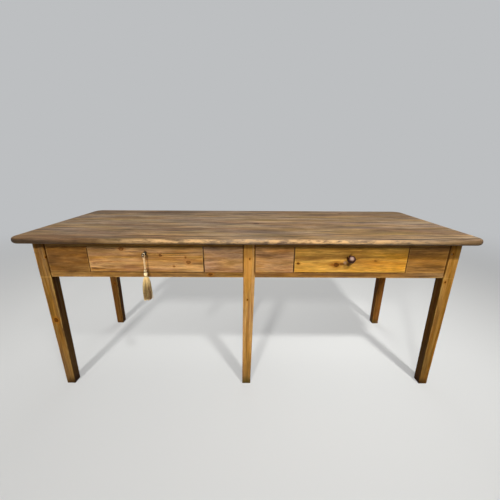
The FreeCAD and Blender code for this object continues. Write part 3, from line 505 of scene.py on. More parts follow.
# The top: one worn slab in four boards, scrubbed grey-brown, with rounded ends, a rubbed front edge with a
# painted highlight, and painted shade towards the ends of the edge
top = {
    "corner": 48,
    "cornerSteps": 10,
    "arris": 10,
    "arrisSteps": 4,
    "seam": 0.9,  # rounding beside each joint between boards
    "pitch": 16,  # along the boards, between the places where an edge can wave
    "cuts": (0.04, 0.25, 0.5, 0.75, 0.96),  # across each board, for the hollows
    "wave": 1.1,  # how far the outer edge has worn unevenly
    "nick": 0.35,
    "hollow": 0.35,  # hand planing of the upper face
    "dents": ((168, 7, 2.2), (316, 6, 1.8), (-520, 9, 1.4), (-905, 12, 1.5), (700, 8, 1.2)),
    "rubbed": 9,  # how far in from the outline the edge is rubbed and carries its painted highlight
    "rubAndHighlightSpan": (-0.36, 3.2, 0.5, 2.2),  # beyond each of these x hands rub less and the painted highlight fades, by that much a metre
    "spared": 0.3,  # rubbing and painted highlight of the ends, the rear and the lower arris
    "lower": 0.4,  # share of the thickness that counts as lower, and gets less of the painted highlight
    "endFrom": 0.4,  # the edge gets darker with painted shade from here to the ends
    "endDark": (0.95, 0.6),  # left and right, painted shade
    "rearDark": 0.45,
    "pine": {
        "early": "#8a6f4e", "late": "#614731", "dirt": "#322317", "pale": "#ae8e66", "tint": "#684937",
        # On the top the worn tone is also a painted highlight on the front edge, and the gap tone a painted
        # shade towards its ends
        "patch": "#887043", "worn": "#d9ae79", "knot": "#33200f", "halo": "#6b4a2c", "gap": "#1c130a",
        "face": "above", "ring": 6, "dirtShare": 0.8, "paleShare": 0.6, "tintShare": 0.6, "patchShare": 0.6,
        "streak": (300, 17), "stain": (400, 60), "blotch": (150, 20), "figure": 0.28, "fade": 0.2,
        "wearBreak": (0.37, 0.6), "fibre": 0.3, "rough": 0.55, "ior": 1.22, "relief": 0.6, "wander": 40,
    },
    "boards": {
        "top_board_front": {"seed": 3, "pith": (40, -70), "cracks": ((-330, -262, 120, 0.8),)},
        "top_board_second": {
            "seed": 8, "pith": (-30, -95), "knots": ((39, -47, 13, 10),), "cracks": ((300, -90, 160, 0.8),),
        },
        "top_board_third": {
            "seed": 14, "pith": (15, -60), "knots": ((-620, 110, 8, 5),), "cracks": ((420, 150, 140, 0.8),),
        },
        "top_board_rear": {
            "seed": 21, "pith": (-50, -80), "knots": ((560, 250, 9, 6),), "waxAndShade": "#e2ddd6",
            "cracks": ((-200, 240, 150, 0.8),),
        },
    },
}


def makeTop():
    names = list(top["boards"])
    low = Vector((cadLow.x, cadLow.y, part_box(names[0])[0].z))
    high = cadHigh.copy()
    slab = bmesh.new()
    size, middle = high - low, (low + high) / 2
    addBox(slab, middle, size)
    bevel(slab, [edge for edge in slab.edges if rise(edge) > size.z / 2], top["corner"], top["cornerSteps"])
    bevel(slab, [edge for edge in slab.edges if rise(edge) < mm], top["arris"], top["arrisSteps"])
    seams = [low.y] + [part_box(name)[0].y for name in names[1:]] + [high.y]
    for number, name in enumerate(names):
        near, far = seams[number:number + 2]
        board = slab.copy()
        for level, beyond in ((near, "clear_inner"), (far, "clear_outer")):
            if low.y < level < high.y:
                cutAcross(board, 1, level, **{beyond: True})
                opened = [edge for edge in board.edges if edge.is_boundary]
                bmesh.ops.holes_fill(board, edges=opened, sides=0)
                seam = [
                    edge for edge in board.edges
                    if all(abs(end.co.y - level) < hair and end.co.z > high.z - hair for end in edge.verts)
                ]
                bevel(board, seam, top["seam"], 2)
        steps = int(size.x / (top["pitch"] * mm))
        for step in range(1, steps):
            cutAcross(board, 0, low.x + size.x * step / steps)
        for share in top["cuts"]:
            cutAcross(board, 1, near + (far - near) * share)
        wearAndHighlight, grimeAndShade = wearAndShadeLayers(board)
        for vertex in board.verts:
            wearAndLightTopVertex(vertex, wearAndHighlight, grimeAndShade, low, high)
        look = {**top["pine"], **top["boards"][name]}
        material = makePine("scrubbedPine" + str(number + 1), (0, (near + far) / 2, middle.z), **look)
        finishBoard(board, name, material)
    slab.free()


def wearAndLightTopVertex(vertex, wearAndHighlight, grimeAndShade, low, high):
    # How far beyond the centres of the rounded corners, so how far in from the outline
    place = vertex.co
    corner = top["corner"] * mm
    outX, outY = (
        math.copysign(max(0.0, abs(place[axis]) - high[axis] + corner), place[axis]) for axis in (0, 1)
    )
    outward = Vector((outX, outY, 0))
    rub = max(0.0, 1 - (corner - outward.length) / (top["rubbed"] * mm))
    # The pale rubbed edge is also a painted highlight, strongest along the middle of the front and weaker
    # on its lower part
    leftFrom, leftLess, rightFrom, rightLess = top["rubAndHighlightSpan"]
    rubAndHighlightSpan = 1 - max(0.0, leftFrom - place.x) * leftLess - max(0.0, place.x - rightFrom) * rightLess
    share = max(0.1, rubAndHighlightSpan) if outY < 0 else top["spared"]
    if place.z <= low.z + top["lower"] * (high.z - low.z):
        share *= top["spared"]
    patchy = chance(Vector((place.x * 6, place.y * 6, 3)))
    vertex[wearAndHighlight] = min(1.0, rub * (0.55 + patchy)) * share
    # Painted shade darkens the edge towards its ends, more at the left; the rear rim is darker too
    endDark = max(0.0, (abs(place.x) - top["endFrom"]) / (high.x - top["endFrom"]))
    endDark *= top["endDark"][0 if place.x < 0 else 1]
    vertex[grimeAndShade] = rub * max(endDark, top["rearDark"] if outY > 0 else 0)
    wave = chance(Vector((place.x * 3.1, place.y * 5, 7))) * top["wave"] * mm
    nick = chance(Vector((place.x * 22, place.y * 22, place.z * 30))) * top["nick"] * mm
    sunk = 0
    if outY < 0:
        for x, half, depth in top["dents"]:
            near = max(0.0, 1 - abs(place.x / mm - x) / (half * 2))
            sunk = max(sunk, near * near * depth * mm)
    hollow = chance(Vector((place.x * 2.3, place.y * 9, 1))) * top["hollow"] * mm
    upper = place.z > (low.z + high.z) / 2
    vertex.co -= outward.normalized() * rub * (wave + nick + sunk * (1 if upper else 0.3))
    if upper:
        vertex.co.z -= hollow + sunk * rub * 0.6


makeTop()
print("top made")


# Legs: square heads, tapered feet, arrises rounded by a century of knocks
legs = {
    "arris": 2.4,
    "footArris": 3.5,
    "rubbed": 3,  # paler wood reaches this far from the arrises
    "rubShare": 0.7,
    "shrink": 0.2,  # the pegs stand this much proud
    "pitch": 38,
    "footDirtAndShadeReach": 330,  # dirt and painted shade reach this high
    "footDirtAndShade": (0.34, 0.1),  # how dark, with dirt and painted shade, at the foot of a front and of a rear leg
    "innerShade": 0.38,  # painted shade: how dark the inner sides are
    "rearFrontShade": (0.042, 0.63),  # painted shade: how dark a rear leg's front is at its foot, and how much darker at its head, under the top
    "jointDark": 0.6,
    "chew": 0.9,
    "pine": {
        "grain": "Z", "ring": 3.6, "wander": 12, "pith": (-50, 45), "streak": (320, 9), "stain": (420, 26),
        "blotch": (150, 14), "figure": 0.2, "ior": 1.12, "dirt": "#6b4322", "dirtShare": 0.5,
        "tint": "#9c5a2c", "late": "#94602c",
    },
    # Each leg's wax tone; the end legs and the rear legs are given darker tones as painted shade
    "looks": {
        "leg_front_left": {
            "waxAndShade": "#aa9a80", "knots": ((-884, 364, 8, 10), (-862, 672, 4, 4)),
            "marks": ((-870, 140, 24, 120, "#b48e50", 0.3), (-864, -6, 60, 44, "#3a2e12", 0.95)),
        },
        "leg_front_centre": {
            "waxAndShade": "#ead8c0", "knots": ((7, 668, 4, 5), (-1, 472, 3, 4)),
            "marks": (
                (-3, 650, 17, 80, "#dd9c4a", 0.5), (0, 50, 24, 130, "#8a6c3e", 0.4),
                (7, 668, 5, 5.5, "#5a2c0c", 0.9), (0, -4, 60, 44, "#4c4a1c", 0.8),
            ),
        },
        "leg_front_right": {
            "waxAndShade": "#bfa877", "knots": ((875, 693, 3.5, 4), (871, 562, 4, 5)),
            "marks": ((868, 130, 24, 120, "#655634", 0.4), (866, -6, 60, 40, "#33280f", 0.9)),
        },
        "leg_rear_left": {
            "waxAndShade": "#977e5a", "knots": ((-880, 300, 5, 7),), "marks": ((-866, 0, 44, 22, "#4a3218", 0.5),),
        },
        "leg_rear_centre": {"waxAndShade": "#cab68a", "knots": ((2, 520, 5, 6),)},
        "leg_rear_right": {
            "waxAndShade": "#b08c60", "knots": ((881, 410, 5, 6),), "marks": ((866, 4, 44, 30, "#46441c", 0.6),),
        },
    },
}


def makeLeg(name, seed, look):
    points = [vertex.co for vertex in nodes[name].data.vertices]
    low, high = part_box(name)
    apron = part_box("end_apron_left")[0].z
    bm = bmesh.new()
    middle = (low + high) / 2
    addBox(bm, middle, high - low)
    cutAcross(bm, 2, apron)
    for vertex in bm.verts:
        around = [point for point in points if abs(point.z - vertex.co.z) < 2 * hair]
        for axis in (0, 1):
            ends = [point[axis] for point in around]
            first, last = min(ends) + legs["shrink"] * mm, max(ends) - legs["shrink"] * mm
            vertex.co[axis] = first if vertex.co[axis] < middle[axis] else last
    bevel(bm, [edge for edge in bm.edges if rise(edge) > mm], legs["arris"], 3)
    foot = [edge for edge in bm.edges if all(vertex.co.z < hair for vertex in edge.verts)]
    bevel(bm, foot, legs["footArris"], 2)
    sides = [face for face in bm.faces if face.calc_area() > 0.005 and abs(face.normal.z) < 0.3]
    bmesh.ops.inset_individual(bm, faces=sides, thickness=legs["rubbed"] * mm, use_even_offset=True)
    for step in range(1, int(high.z / (legs["pitch"] * mm))):
        cutAcross(bm, 2, step * legs["pitch"] * mm)
    wearAndHighlight, grimeAndShade = wearAndShadeLayers(bm)
    bm.normal_update()
    rear, outer = middle.y > 0, abs(middle.x) > 0.1
    footDirtAndShade = legs["footDirtAndShade"][1 if rear else 0]
    shadeAtFoot, shadeMoreAtHead = legs["rearFrontShade"]
    for vertex in bm.verts:
        height = vertex.co.z
        bent = len({tuple(round(value, 1) for value in face.normal) for face in vertex.link_faces}) > 1
        vertex[wearAndHighlight] = legs["rubShare"] * chance(vertex.co * 9) if bent else 0.0
        # Darker towards the foot, with dirt and painted shade
        vertex[grimeAndShade] = max(0.0, 1 - height / (legs["footDirtAndShadeReach"] * mm)) * footDirtAndShade
        # Painted shade on the inner sides of the end legs
        if outer and vertex.normal.x * math.copysign(1, middle.x) < -0.9:
            vertex[grimeAndShade] += legs["innerShade"]
        # Painted shade on the fronts of the rear legs, under the top, darker towards the head
        if rear and vertex.normal.y < -0.9:
            vertex[grimeAndShade] += shadeAtFoot + shadeMoreAtHead * height / high.z
        besidePanel = (middle - vertex.co).x * middle.x > 0 or not outer
        if bent and besidePanel and height > apron + 2 * mm:
            vertex[wearAndHighlight], vertex[grimeAndShade] = 0, legs["jointDark"]
        if bent and height < apron:
            inward = Vector((middle.x - vertex.co.x, middle.y - vertex.co.y, 0)).normalized()
            vertex.co += inward * abs(noise.noise(vertex.co * 24)) * legs["chew"] * mm
    material = makePine("waxedPine_" + name, tuple(middle), seed=seed, **legs["pine"], **look)
    finishBoard(bm, name, material)


for number, (legName, legLook) in enumerate(legs["looks"].items(), 31):
    makeLeg(legName, number, legLook)
print("legs made")

# Front of the frame and drawers: what sets each board's wood apart
innerPanel = {"fade": 0.1, "streak": (120, 12), "stain": (200, 40)}
front = {
    "panel_left_outer": {
        "waxAndShade": "#a28861", "figure": 0.2, "dirtShare": 0.35, "blotch": (60, 26), "streak": (130, 12),
    },
    "panel_left_inner": {"waxAndShade": "#dfd3e7", "paleShare": 0.25, **innerPanel},
    "panel_right_inner": {"waxAndShade": "#e4d0ca", "paleShare": 0.3, **innerPanel},
    "panel_right_outer": {"waxAndShade": "#bda377", "figure": 0.26, "dirtShare": 0.6, "blotch": (90, 22)},
    "bottom_rail_left": {"waxAndShade": "#af9b7d", "knots": ((-165, 594, 9, 5),)},
    "bottom_rail_right": {"waxAndShade": "#ae9983"},
    "top_rail_left": {"waxAndShade": "#b09d7c"},
    "top_rail_right": {"waxAndShade": "#ab9673"},
    "left_drawer_front": {
        "waxAndShade": "#e9d6c4", "pith": (30, -60), "ring": 5, "streak": (240, 8), "stain": (330, 30),
        "knot": "#7a4a1e", "halo": "#b47a3e", "crack": "#40220c",
        "knots": (
            (-538, 710, 10, 6.5), (-376, 681, 6, 5), (-268, 672, 4.5, 4.5), (-257, 650, 9, 8),
            (-321, 630.5, 4, 3.5),
        ),
        "cracks": (
            (-500, 696, 40, 1.5), (-345, 690, 120, 1.3), (-335, 682.5, 112, 1.3), (-666, 622.5, 16, 2.6),
            (-640, 620, 26, 1.6),
        ),
        "marks": (
            (-507, 629, 58, 11, "#7a4a32", 0.55), (-597, 630, 36, 5, "#6b4224", 0.6),
            (-664, 645, 8, 6, "#7a4c2c", 0.6), (-360, 634, 60, 4, "#a06c40", 0.4),
            (-620, 700, 70, 12, "#7c5428", 0.4), (-438, 691.5, 9.5, 9.5, "#26140a", 1),
        ),
    },
    "right_drawer_front": {
        "waxAndShade": "#fadf8e", "pith": (-20, -75), "ring": 7, "dirtShare": 0.2,
        "knots": ((216, 647, 6, 4.5), (383, 641, 10, 9), (551, 660, 7, 4)),
        "marks": (
            (362, 641, 18, 6, "#8a4a12", 0.8), (404, 645, 11, 7, "#5e300c", 0.9),
            # The dark streak at (434, 642) is partly the knob's painted shadow, and the olive patch at
            # (440, 628) is a painted shadow below the knob
            (420, 650, 8, 7, "#cfa888", 0.8), (434, 642, 9, 9, "#4a2a0a", 0.85),
            (560, 660, 26, 4, "#a8742c", 0.5), (440, 628, 18, 5, "#8f6a10", 0.5),
        ),
    },
}
# How far dirt reaches in from the joints, mm, and how dark it is beside, below and above the board
frontJoints = {
    "panel": (1.7, (0.8, 0.15, 0.5)),
    "bottom": (2.2, (0.8, 0, 0.95)),
    "top": (1.7, (0.8, 0.4, 0)),
    "left": (1, (0.3, 0.85, 0)),
    "right": (1, (0.3, 0.85, 0)),
}
for number, (boardName, boardLook) in enumerate(front.items(), 41):
    pine = makePine("waxedPine_" + boardName, middleOf(boardName), seed=number, **boardLook)
    boardJoint, boardDirt = frontJoints[boardName.split("_")[0]]
    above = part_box(boardName.split("_")[-1] + "_drawer_front") if boardName.startswith("bottom") else None
    wearBoard(boardName, pine, 1, -1, 0.9, 40, joint=boardJoint, dirt=boardDirt, under=above)

# Aprons, rails and drawer boxes: the axis and side of the face on which a board's reach is read,
# the way of its grain, and its wood
carcass = {
    "end_apron_left": (0, -1, "Y", {"waxAndShade": "#cdb690", "knots": ((60, 650, 8, 6),)}),
    "end_apron_right": (0, 1, "Y", {"waxAndShade": "#cfb68b", "knots": ((-90, 690, 7, 5),)}),
    "rear_apron_left": (1, 1, "X", {"waxAndShade": "#c6b893", "knots": ((-420, 640, 9, 6),)}),
    "rear_apron_right": (1, 1, "X", {"waxAndShade": "#c9b994", "knots": ((380, 690, 8, 6),)}),
    "centre_cross_rail": (0, -1, "Y", {"waxAndShade": "#c2b59b"}),
}
lowRails = {
    "runner_left_outer": "#d4cebb", "runner_left_inner": "#cfc8b4", "runner_right_inner": "#d5cfb9",
    "runner_right_outer": "#cec5b0", "kicker_left": "#cac3ad", "kicker_right": "#d0c9b4",
}
for boardName, waxAndShade in lowRails.items():
    carcass[boardName] = (2, -1, "Y", {"waxAndShade": waxAndShade})
for drawerSide in ("left", "right"):
    for number, part in enumerate(("side_left", "side_right", "back", "bottom")):
        wood = {"waxAndShade": "#efe6d6", "seed": 62 + number, "rough": 0.6, "patchShare": 0.2, "streak": (320, 10)}
        wood["face"] = "above" if part == "bottom" else "side"
        boardGrain = "Y" if part.startswith("side") else "X"
        carcass[f"{drawerSide}_drawer_{part}"] = (2, 1, boardGrain, wood)
for number, (boardName, (boardAxis, boardSide, boardGrain, boardLook)) in enumerate(carcass.items(), 51):
    if boardAxis == 0:
        boardLook["face"] = "side"
    boardLook.setdefault("seed", number)
    pine = makePine("pine_" + boardName, middleOf(boardName), grain=boardGrain, **boardLook)
    wearBoard(boardName, pine, boardAxis, boardSide, 0.8, 120)
print("frame and drawers made")

# Small wood and metal: these nodes keep their shape
blockPine = makePine("barePine", (0, 0, 0.7), early="#b08a5c", late="#85633c", seed=70, rough=0.6)
pegWood = makePine(
    "pegEndGrain", (0, 0, 0.65), early="#6d4524", late="#4a2c14", grain="Y", ring=1.2, seed=71
)
oldSteel = makeMetal("forgedSteel", "#8d8a84", "#4a4540", 0.42)
darkBrass = makeMetal("tarnishedBrass", "#2a190c", "#150c05", 0.5)
keySteel = makeMetal("wornSteel", "#8f877b", "#5a534a", 0.45)
steelNodes = (
    "button_screws", "rail_screws", "left_drawer_nails", "right_drawer_nails", "knob_screw",
    "lock_case", "lock_plate", "lock_spring", "lock_screws",
)
for smallMaterial, smallNodes in (
    (blockPine, ("top_buttons", "drawer_stops")), (pegWood, ("frame_pegs",)),
    (oldSteel, steelNodes), (darkBrass, ("lock_bolt", "key_escutcheon")),
):
    for smallNode in smallNodes:
        dress(nodes[smallNode].data, smallMaterial)
print("small wood and metals made")


# Turned shapes: an outline of (along, radius) pairs in millimetres, spun about an axis
def spinRound(bm, outline, centre, axis, steps):
    bmesh.ops.spin(
        bm, geom=outline, cent=centre, axis=axis, angle=math.tau, steps=steps, use_merge=True,
        use_normal_flip=False, use_duplicate=False,
    )


def closeUp(bm):
    bmesh.ops.remove_doubles(bm, verts=bm.verts[:], dist=hair)
    bmesh.ops.recalc_face_normals(bm, faces=bm.faces[:])


def turned(outline, origin, axis, steps):
    bm = bmesh.new()
    across = Vector((0, 0, 1)) if abs(axis.z) < 0.5 else Vector((1, 0, 0))
    rim = [bm.verts.new(origin + axis * along * mm + across * radius * mm) for along, radius in outline]
    edges = [bm.edges.new(pair) for pair in zip(rim, rim[1:])]
    spinRound(bm, rim + edges, origin, axis, steps)
    closeUp(bm)
    return bm


# Knob: turned, nearly black with handling, a broad polished dome with a painted highlight
knob = {
    "steps": 48,
    "outline": (
        (0, 0), (0, 10.5), (1.6, 10.5), (2.4, 9.6), (4.2, 7.6), (7, 6.6), (9.5, 6.8), (11, 8.6),
        (12.2, 12.6), (14.2, 15.6), (17, 16.8), (20, 17), (23, 16.2), (25.6, 14), (26.4, 13),
        (26.9, 12.6), (27.6, 12), (28.8, 8.6), (29.6, 4.4), (29.9, 0),
    ),
    "colour": "#2a1206",
    "rubbed": "#5e3319",
    "paintedHighlight": (436, 679),  # where a pale highlight is painted on the dome
    "highlightReach": 7.5,
    "highlightTone": "#b59484",
}


def makeKnob():
    low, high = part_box("drawer_knob")
    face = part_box("right_drawer_front")[0].y
    origin = Vector(((low.x + high.x) / 2, face, (low.z + high.z) / 2))
    bm = turned(knob["outline"], origin, Vector((0, -1, 0)), knob["steps"])
    material, tree, place = startMaterial("polishedFruitwood")
    spread = doVector(tree, "MULTIPLY", place, (1 / (3 * mm), 1 / (12 * mm), 1 / (3 * mm)))
    grain = noisy(tree, spread, 1.0, 4.0)
    colour = mixed(tree, ranged(tree, grain, 0.42, 0.72), knob["colour"], knob["rubbed"])
    highlightX, highlightZ = knob["paintedHighlight"]
    away = doVector(tree, "DISTANCE", place, (highlightX * mm, low.y + 3 * mm, highlightZ * mm))
    reach = knob["highlightReach"] * mm
    # Painted highlight: a pale tone on the dome near that place
    colour = mixed(tree, ranged(tree, away, 1.6 * reach, 0.3 * reach), colour, knob["highlightTone"])
    rough = ranged(tree, grain, 0.3, 0.7, 0.4, 0.55, "LINEAR")
    finishMaterial(tree, colour, rough, grain, 0.25, 0.3, {"IOR": 1.3})
    piece = addPiece("turnedKnob", meshFrom(bm, "turnedKnob"), material, "right_drawer")
    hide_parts("drawer_knob")


makeKnob()

# Key: a turned shank, an oval ring seen on edge, and a cut bit inside the lock
key = {
    "shank": 5,
    "reach": 31,  # middle of the ring from the drawer front
    "ring": 13,  # across its centreline
    "ringSection": (2.4, 3.2),  # across and along the shank
    "ringSteps": 36,
    "bit": (2.5, 7.5, 9),
    "bitArris": 0.3,
    "steps": 28,
}


def makeKey():
    low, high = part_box("drawer_key")
    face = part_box("left_drawer_front")[0].y
    axisPoint = Vector((pivots["key_turn"].x, face, pivots["key_turn"].z))
    inner = (face - high.y) / mm
    ringStart = key["reach"] - key["ring"] / 2
    half = key["shank"] / 2
    outline = (
        (inner, 0), (inner, half - 0.4), (inner + 0.4, half), (1.1, half), (1.3, 4.2), (3.6, 4.2),
        (4, half + 0.3), (4.8, half), (11, half), (11.6, 3.5), (12.8, 3.5), (13.4, half),
        (ringStart - 3, 2.3), (ringStart, 1.6), (ringStart + 0.6, 0),
    )
    bm = turned(outline, axisPoint, Vector((0, -1, 0)), key["steps"])
    centre = axisPoint + Vector((0, -key["reach"] * mm, 0))
    ringTop = centre + Vector((0, 0, key["ring"] / 2 * mm))
    across, along = key["ringSection"]
    placed = Matrix.Translation(ringTop) @ Matrix.Rotation(math.pi / 2, 4, "X")
    placed = placed @ Matrix.Diagonal((across * mm, along * mm, 1, 1))
    section = bmesh.ops.create_circle(bm, cap_ends=False, radius=0.5, segments=12, matrix=placed)["verts"]
    edges = list({edge for vertex in section for edge in vertex.link_edges})
    spinRound(bm, section + edges, centre, (1, 0, 0), key["ringSteps"])
    thick, wide, drop = (value * mm for value in key["bit"])
    made = addBox(bm, Vector((axisPoint.x, high.y - wide / 2, axisPoint.z - drop / 2)), (thick, wide, drop))
    bevel(bm, list({edge for vertex in made for edge in vertex.link_edges}), key["bitArris"], 2)
    closeUp(bm)
    piece = addPiece("steelKey", meshFrom(bm, "steelKey"), keySteel, "key")
    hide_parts("drawer_key")


makeKey()
print("knob and key made")

# Tassel: a loop of twisted cord over the shank of the key, a bound head and a skirt of threads
golden = math.pi * (3 - math.sqrt(5))  # turning by this spreads threads evenly
tassel = {
    "cord": 3.0,
    "plies": 3,
    "lay": 8.5,  # one turn of the plies
    "route": (
        (-1.7, -67.5), (-1.7, -44), (-1.9, -22), (-3.4, -9), (-4.7, -2), (-4.7, 4.4), (4.7, 4.4), (4.7, -2),
        (3.4, -9), (1.9, -22), (1.7, -44), (1.7, -67.5),
    ),
    "threads": 300,
    "thread": 1.25,
    "skirt": (  # how far down, and its radius there
        (0, 6), (0.03, 9.6), (0.1, 12.6), (0.22, 15.6), (0.4, 17.8), (0.6, 18.8), (0.8, 18.4), (1, 16.6),
    ),
    "lean": 3.5,  # how far the ends of the skirt hang to the left
    "drift": 0.22,  # how far a thread winds round on its way down, and its small bends, in radians
    "bends": 0.03,
    "loose": (-0.5, 0.35),  # how far a thread strays in and out, mm
    "ends": (0.975, 0.07),  # the longest thread, and how much shorter some are
    "lightTop": 0.26,  # the threads keep their painted light down to here at most
    "cutEnd": 0.92,  # below this some ends get the painted light again
    "stray": ((2.6, 24, 0.93), (2.9, 22.5, 0.86), (0.4, 21.5, 0.99), (5.9, 23.5, 0.9)),  # turn, reach, end
    "ridge": 0.9,  # winding thread of the head, and how deep its grooves are
    "groove": 0.44,
    "ball": (0.37, 0.27, 8),  # middle and half height as shares of the head, and radius
    "bead": (0.82, 0.15, 5.8),
    "collar": (0.06, 5.4),  # up to this share, and its radius
    "neck": 3.2,
    "narrow": (4.4, 1.2),  # the head is painted in shade where its radius is less than this, by this much quite
    "cordLit": "#f6dbac",
    "cordShade": "#bf9663",
    "flossLit": "#ffecbe",
    "flossShade": "#7a5d1a",
    "flossRust": "#743f24",
    "headShade": "#a3824a",
    "headRust": "#94693a",
    "skirtLit": "#ffe09c",
    "walk": 0.7,  # between the points of the cord's line
}


def tubesFrom(paths, diameter, name, sides, resolution, kind="NURBS"):
    # Curves with a round section, turned into one mesh
    data = bpy.data.curves.new(name, "CURVE")
    data.dimensions = "3D"
    data.resolution_u = resolution
    data.bevel_depth = diameter / 2
    data.bevel_resolution = sides
    data.use_fill_caps = diameter > 0
    for path in paths:
        spline = data.splines.new(kind)
        spline.points.add(len(path) - 1)
        for point, place in zip(spline.points, path):
            point.co = (*place, 1)
        if kind == "NURBS":
            spline.order_u = 3
            spline.use_endpoint_u = True
    holder = bpy.data.objects.new(name, data)
    mesh = bpy.data.meshes.new_from_object(holder)
    bpy.data.objects.remove(holder)
    return mesh


def evenly(points, step):
    # Walk along a line in equal steps
    walked = [points[0].copy()]
    for first, second in zip(points, points[1:]):
        gap = (second - first).length
        while gap > 0 and (second - walked[-1]).length >= step:
            walked.append(walked[-1] + (second - walked[-1]).normalized() * step)
    return walked


def makeCord():
    pivot = pivots["tassel_swing"]
    route = [pivot + Vector((x, 0, z)) * mm for x, z in tassel["route"]]
    line = [vertex.co.copy() for vertex in tubesFrom([route], 0, "cordLine", 0, 16).vertices]
    length = sum((second - first).length for first, second in zip(line, line[1:]))
    walked = evenly(line, tassel["walk"] * mm)
    ply = tassel["cord"] / 2 / (1 + 1 / math.sin(math.pi / tassel["plies"])) * 1.12
    off = (tassel["cord"] / 2 - ply) * mm
    depth = Vector((0, 1, 0))
    paths = []
    for number in range(tassel["plies"]):
        path = []
        for step, place in enumerate(walked):
            ahead = (walked[min(step + 1, len(walked) - 1)] - walked[max(step - 1, 0)]).normalized()
            angle = math.tau * (step * tassel["walk"] / tassel["lay"] + number / tassel["plies"])
            path.append(place + (ahead.cross(depth) * math.cos(angle) + depth * math.sin(angle)) * off)
        paths.append(path)
    mesh = tubesFrom(paths, 2 * ply * mm, "twistedCord", 1, 1, "POLY")
    shade = tassel["cordShade"]
    floss = makeThread("twistedCotton", tassel["cordLit"], shade, shade, 1.2, 2.5)
    piece = addPiece("twistedCord", mesh, floss, "tassel")
    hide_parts("tassel_cord")
    return piece, line, length


def makeHead():
    low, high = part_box("tassel_head")
    pivot = pivots["tassel_swing"]
    height = (high.z - low.z) / mm
    foot = Vector((pivot.x, pivot.y, low.z))
    outline = [(0, 0)]
    steps = int(height / tassel["ridge"] * 6)
    collarTop, collarRadius = tassel["collar"]
    for step in range(steps + 1):
        along = height * step / steps
        share = along / height
        radius = collarRadius if share < collarTop else tassel["neck"]
        for middle, half, most in (tassel["ball"], tassel["bead"]):
            radius = max(radius, math.sqrt(max(0.0, 1 - ((share - middle) / half) ** 2)) * most)
        ripple = math.cos(math.tau * along / tassel["ridge"]) - 1
        outline.append((along, radius + tassel["groove"] / 2 * ripple))
    outline.append((height, 0))
    bm = turned(outline, foot, Vector((0, 0, 1)), 40)
    paintedShade = bm.verts.layers.float.new("paintedShade")
    narrow, fade = tassel["narrow"]
    # Painted shade in the narrow waists of the head
    for vertex in bm.verts:
        radius = math.hypot(vertex.co.x - foot.x, vertex.co.y - foot.y) / mm
        vertex[paintedShade] = min(1.0, max(0.0, (narrow - radius) / fade))
    floss = makeThread("woundFloss", tassel["flossLit"], tassel["headShade"], tassel["headRust"], 2.2, 1.4)
    piece = addPiece("boundHead", meshFrom(bm, "boundHead"), floss, "tassel")
    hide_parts("tassel_head")


def makeSkirt():
    low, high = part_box("tassel_skirt")
    pivot = pivots["tassel_swing"]
    length = high.z - low.z
    longest, shorter = tassel["ends"]
    dice = random.Random(5)
    paths = []

    def placeAt(x, turn, reach, share):
        acrossX, acrossY = math.cos(turn) * reach, math.sin(turn) * reach
        return Vector((x + acrossX, pivot.y + acrossY, high.z - share * length))

    for number in range(tassel["threads"]):
        rank = math.sqrt((number + 0.5) / tassel["threads"])
        drift = dice.uniform(-tassel["drift"], tassel["drift"])
        end = longest - dice.random() ** 2 * shorter
        path = []
        for down, radius in tassel["skirt"]:
            share = min(down, end)
            reach = (radius * rank + dice.uniform(*tassel["loose"]) * min(1, down * 4)) * mm
            turn = number * golden + drift * share + dice.uniform(-tassel["bends"], tassel["bends"])
            path.append(placeAt(pivot.x - tassel["lean"] * mm * share, turn, reach, share))
        paths.append(path)
    for turn, reach, end in tassel["stray"]:
        path = []
        for down, radius in tassel["skirt"]:
            out = (radius * 0.9 + (reach - radius) * max(0.0, down - 0.5) * 2) * mm
            path.append(placeAt(pivot.x, turn + 0.25 * math.sin(down * 9), out, down * end))
        paths.append(path)
    mesh = tubesFrom(paths, tassel["thread"] * mm, "flossSkirt", 0, 3)
    paintedShade = mesh.attributes.new("paintedShade", "FLOAT", "POINT")
    perThread = len(mesh.vertices) // len(paths)
    tones = []
    for number in range(len(paths)):
        tones.append(0.5 + 0.4 * math.sin(number * golden * 7) + dice.uniform(-0.2, 0.1))
    starts = [dice.uniform(0, tassel["lightTop"]) for _ in paths]
    # Painted shade: below its light top each thread turns to the shaded colour, and some cut ends are lit
    # again
    for number, vertex in enumerate(mesh.vertices):
        thread = min(number // perThread, len(paths) - 1)
        down = (high.z - vertex.co.z) / length
        fall = min(1, max(0.0, down - starts[thread]) * 3)
        if down > tassel["cutEnd"] and tones[thread] < 0.5:
            fall *= 0.2
        paintedShade.data[number].value = fall * (0.4 + 0.6 * tones[thread]) if thread < tassel["threads"] else 0.1
    floss = makeThread(
        "hangingFloss", tassel["skirtLit"], tassel["flossShade"], tassel["flossRust"], 1.6, 60, 0.06
    )
    piece = addPiece("flossSkirt", mesh, floss, "tassel")
    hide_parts("tassel_skirt")


cordPiece, cordLine, cordLength = makeCord()
makeHead()
makeSkirt()
print("tassel made, cord", round(cordLength, 4))

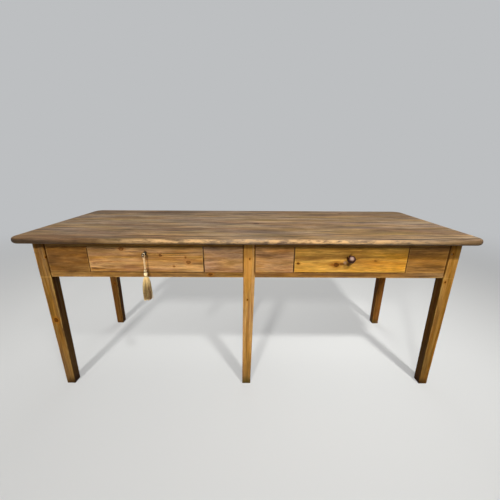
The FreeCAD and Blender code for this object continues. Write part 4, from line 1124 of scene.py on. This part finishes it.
# Studio: a plain pale floor and surround, two lamps before the table that cast its shadows, and three
# soft ones before, behind and above it
studio = {
    "size": 30,  # half the floor's width, metres
    "floor": "#b0b0ad",
    "floorGlow": 0.28,  # keeps the far floor as pale as the near one
    "floorBounce": "#4c4741",
    "fade": (1.6, 5),  # metres from the table over which the floor turns into the surround
    "surround": "#bdbfc1",
    "fill": 0.12,
    "fills": ("softboxFront", "softboxBehind"),  # these leave no reflection
    "lamps": {
        # place, aim, size, spread in degrees and power
        "softboxLeft": ((-1.9, -6.2, 4.6), (-1.05, -0.25, 0.6), 0.7, 44, 24.3),
        "softboxRight": ((1.6, -2.75, 4.2), (0.8, -0.3, 0.62), 0.34, 46, 12.5),
        "softboxFront": ((0, -4.5, 1.2), (0, 0, 0.6), 3, 120, 17),
        "softboxBehind": ((0, 3.2, 3.6), (0, 0.3, 0.5), 2.2, 100, 22),
        "softboxAbove": ((0.2, 0.1, 3.6), (0, 0, 0.7), 1.8, 150, 6),
    },
}


def seenRays(tree):
    # What the camera sees, also in polish and metal
    rays = addNode(tree, "LightPath").outputs
    seen = doMath(tree, "MAXIMUM", rays["Is Camera Ray"], rays["Is Glossy Ray"])
    return doMath(tree, "MAXIMUM", seen, rays["Is Transmission Ray"])


def makeStudio():
    bm = bmesh.new()
    bmesh.ops.create_grid(bm, x_segments=1, y_segments=1, size=studio["size"])
    floor = addObject("floor", meshFrom(bm, "floor"))
    material, tree, place = startMaterial("paleFloor")
    seen = seenRays(tree)
    tone = mixed(tree, seen, studio["floorBounce"], studio["floor"])
    glow = doMath(tree, "MULTIPLY", seen, studio["floorGlow"])
    white = (1, 1, 1, 1)
    inputs = {"Base Color": tone, "Roughness": 0.9, "Emission Color": white, "Emission Strength": glow}
    shader = addNode(tree, "BsdfPrincipled", inputs).outputs[0]
    fade = ranged(tree, doVector(tree, "LENGTH", place), *studio["fade"])
    fade = doMath(tree, "MULTIPLY", fade, seen)
    plain = addNode(tree, "Emission", {0: studio["surround"], 1: 1.0}).outputs[0]
    both = addNode(tree, "MixShader", {0: fade, 1: shader, 2: plain}).outputs[0]
    addNode(tree, "OutputMaterial", {0: both})
    dress(floor.data, material)
    world = bpy.data.worlds.new("surround")
    scene.world = world
    world.use_nodes = True
    tree = world.node_tree
    tree.nodes.clear()
    seen = seenRays(tree)
    plain = addNode(tree, "Background", {0: studio["surround"], 1: 1.0}).outputs[0]
    soft = addNode(tree, "Background", {0: white, 1: studio["fill"]}).outputs[0]
    both = addNode(tree, "MixShader", {0: seen, 1: soft, 2: plain}).outputs[0]
    addNode(tree, "OutputWorld", {0: both})
    for name, (place, aim, size, spread, power) in studio["lamps"].items():
        data = bpy.data.lights.new(name, "AREA")
        data.shape = "SQUARE"
        data.size = size
        data.spread = math.radians(spread)
        data.energy = power
        lamp = addObject(name, data)
        lamp.location = place
        lamp.visible_glossy = name not in studio["fills"]
        lamp.rotation_euler = (Vector(aim) - Vector(place)).to_track_quat("-Z", "Y").to_euler()


makeStudio()
scene.view_settings.view_transform = "Standard"
print("studio made")
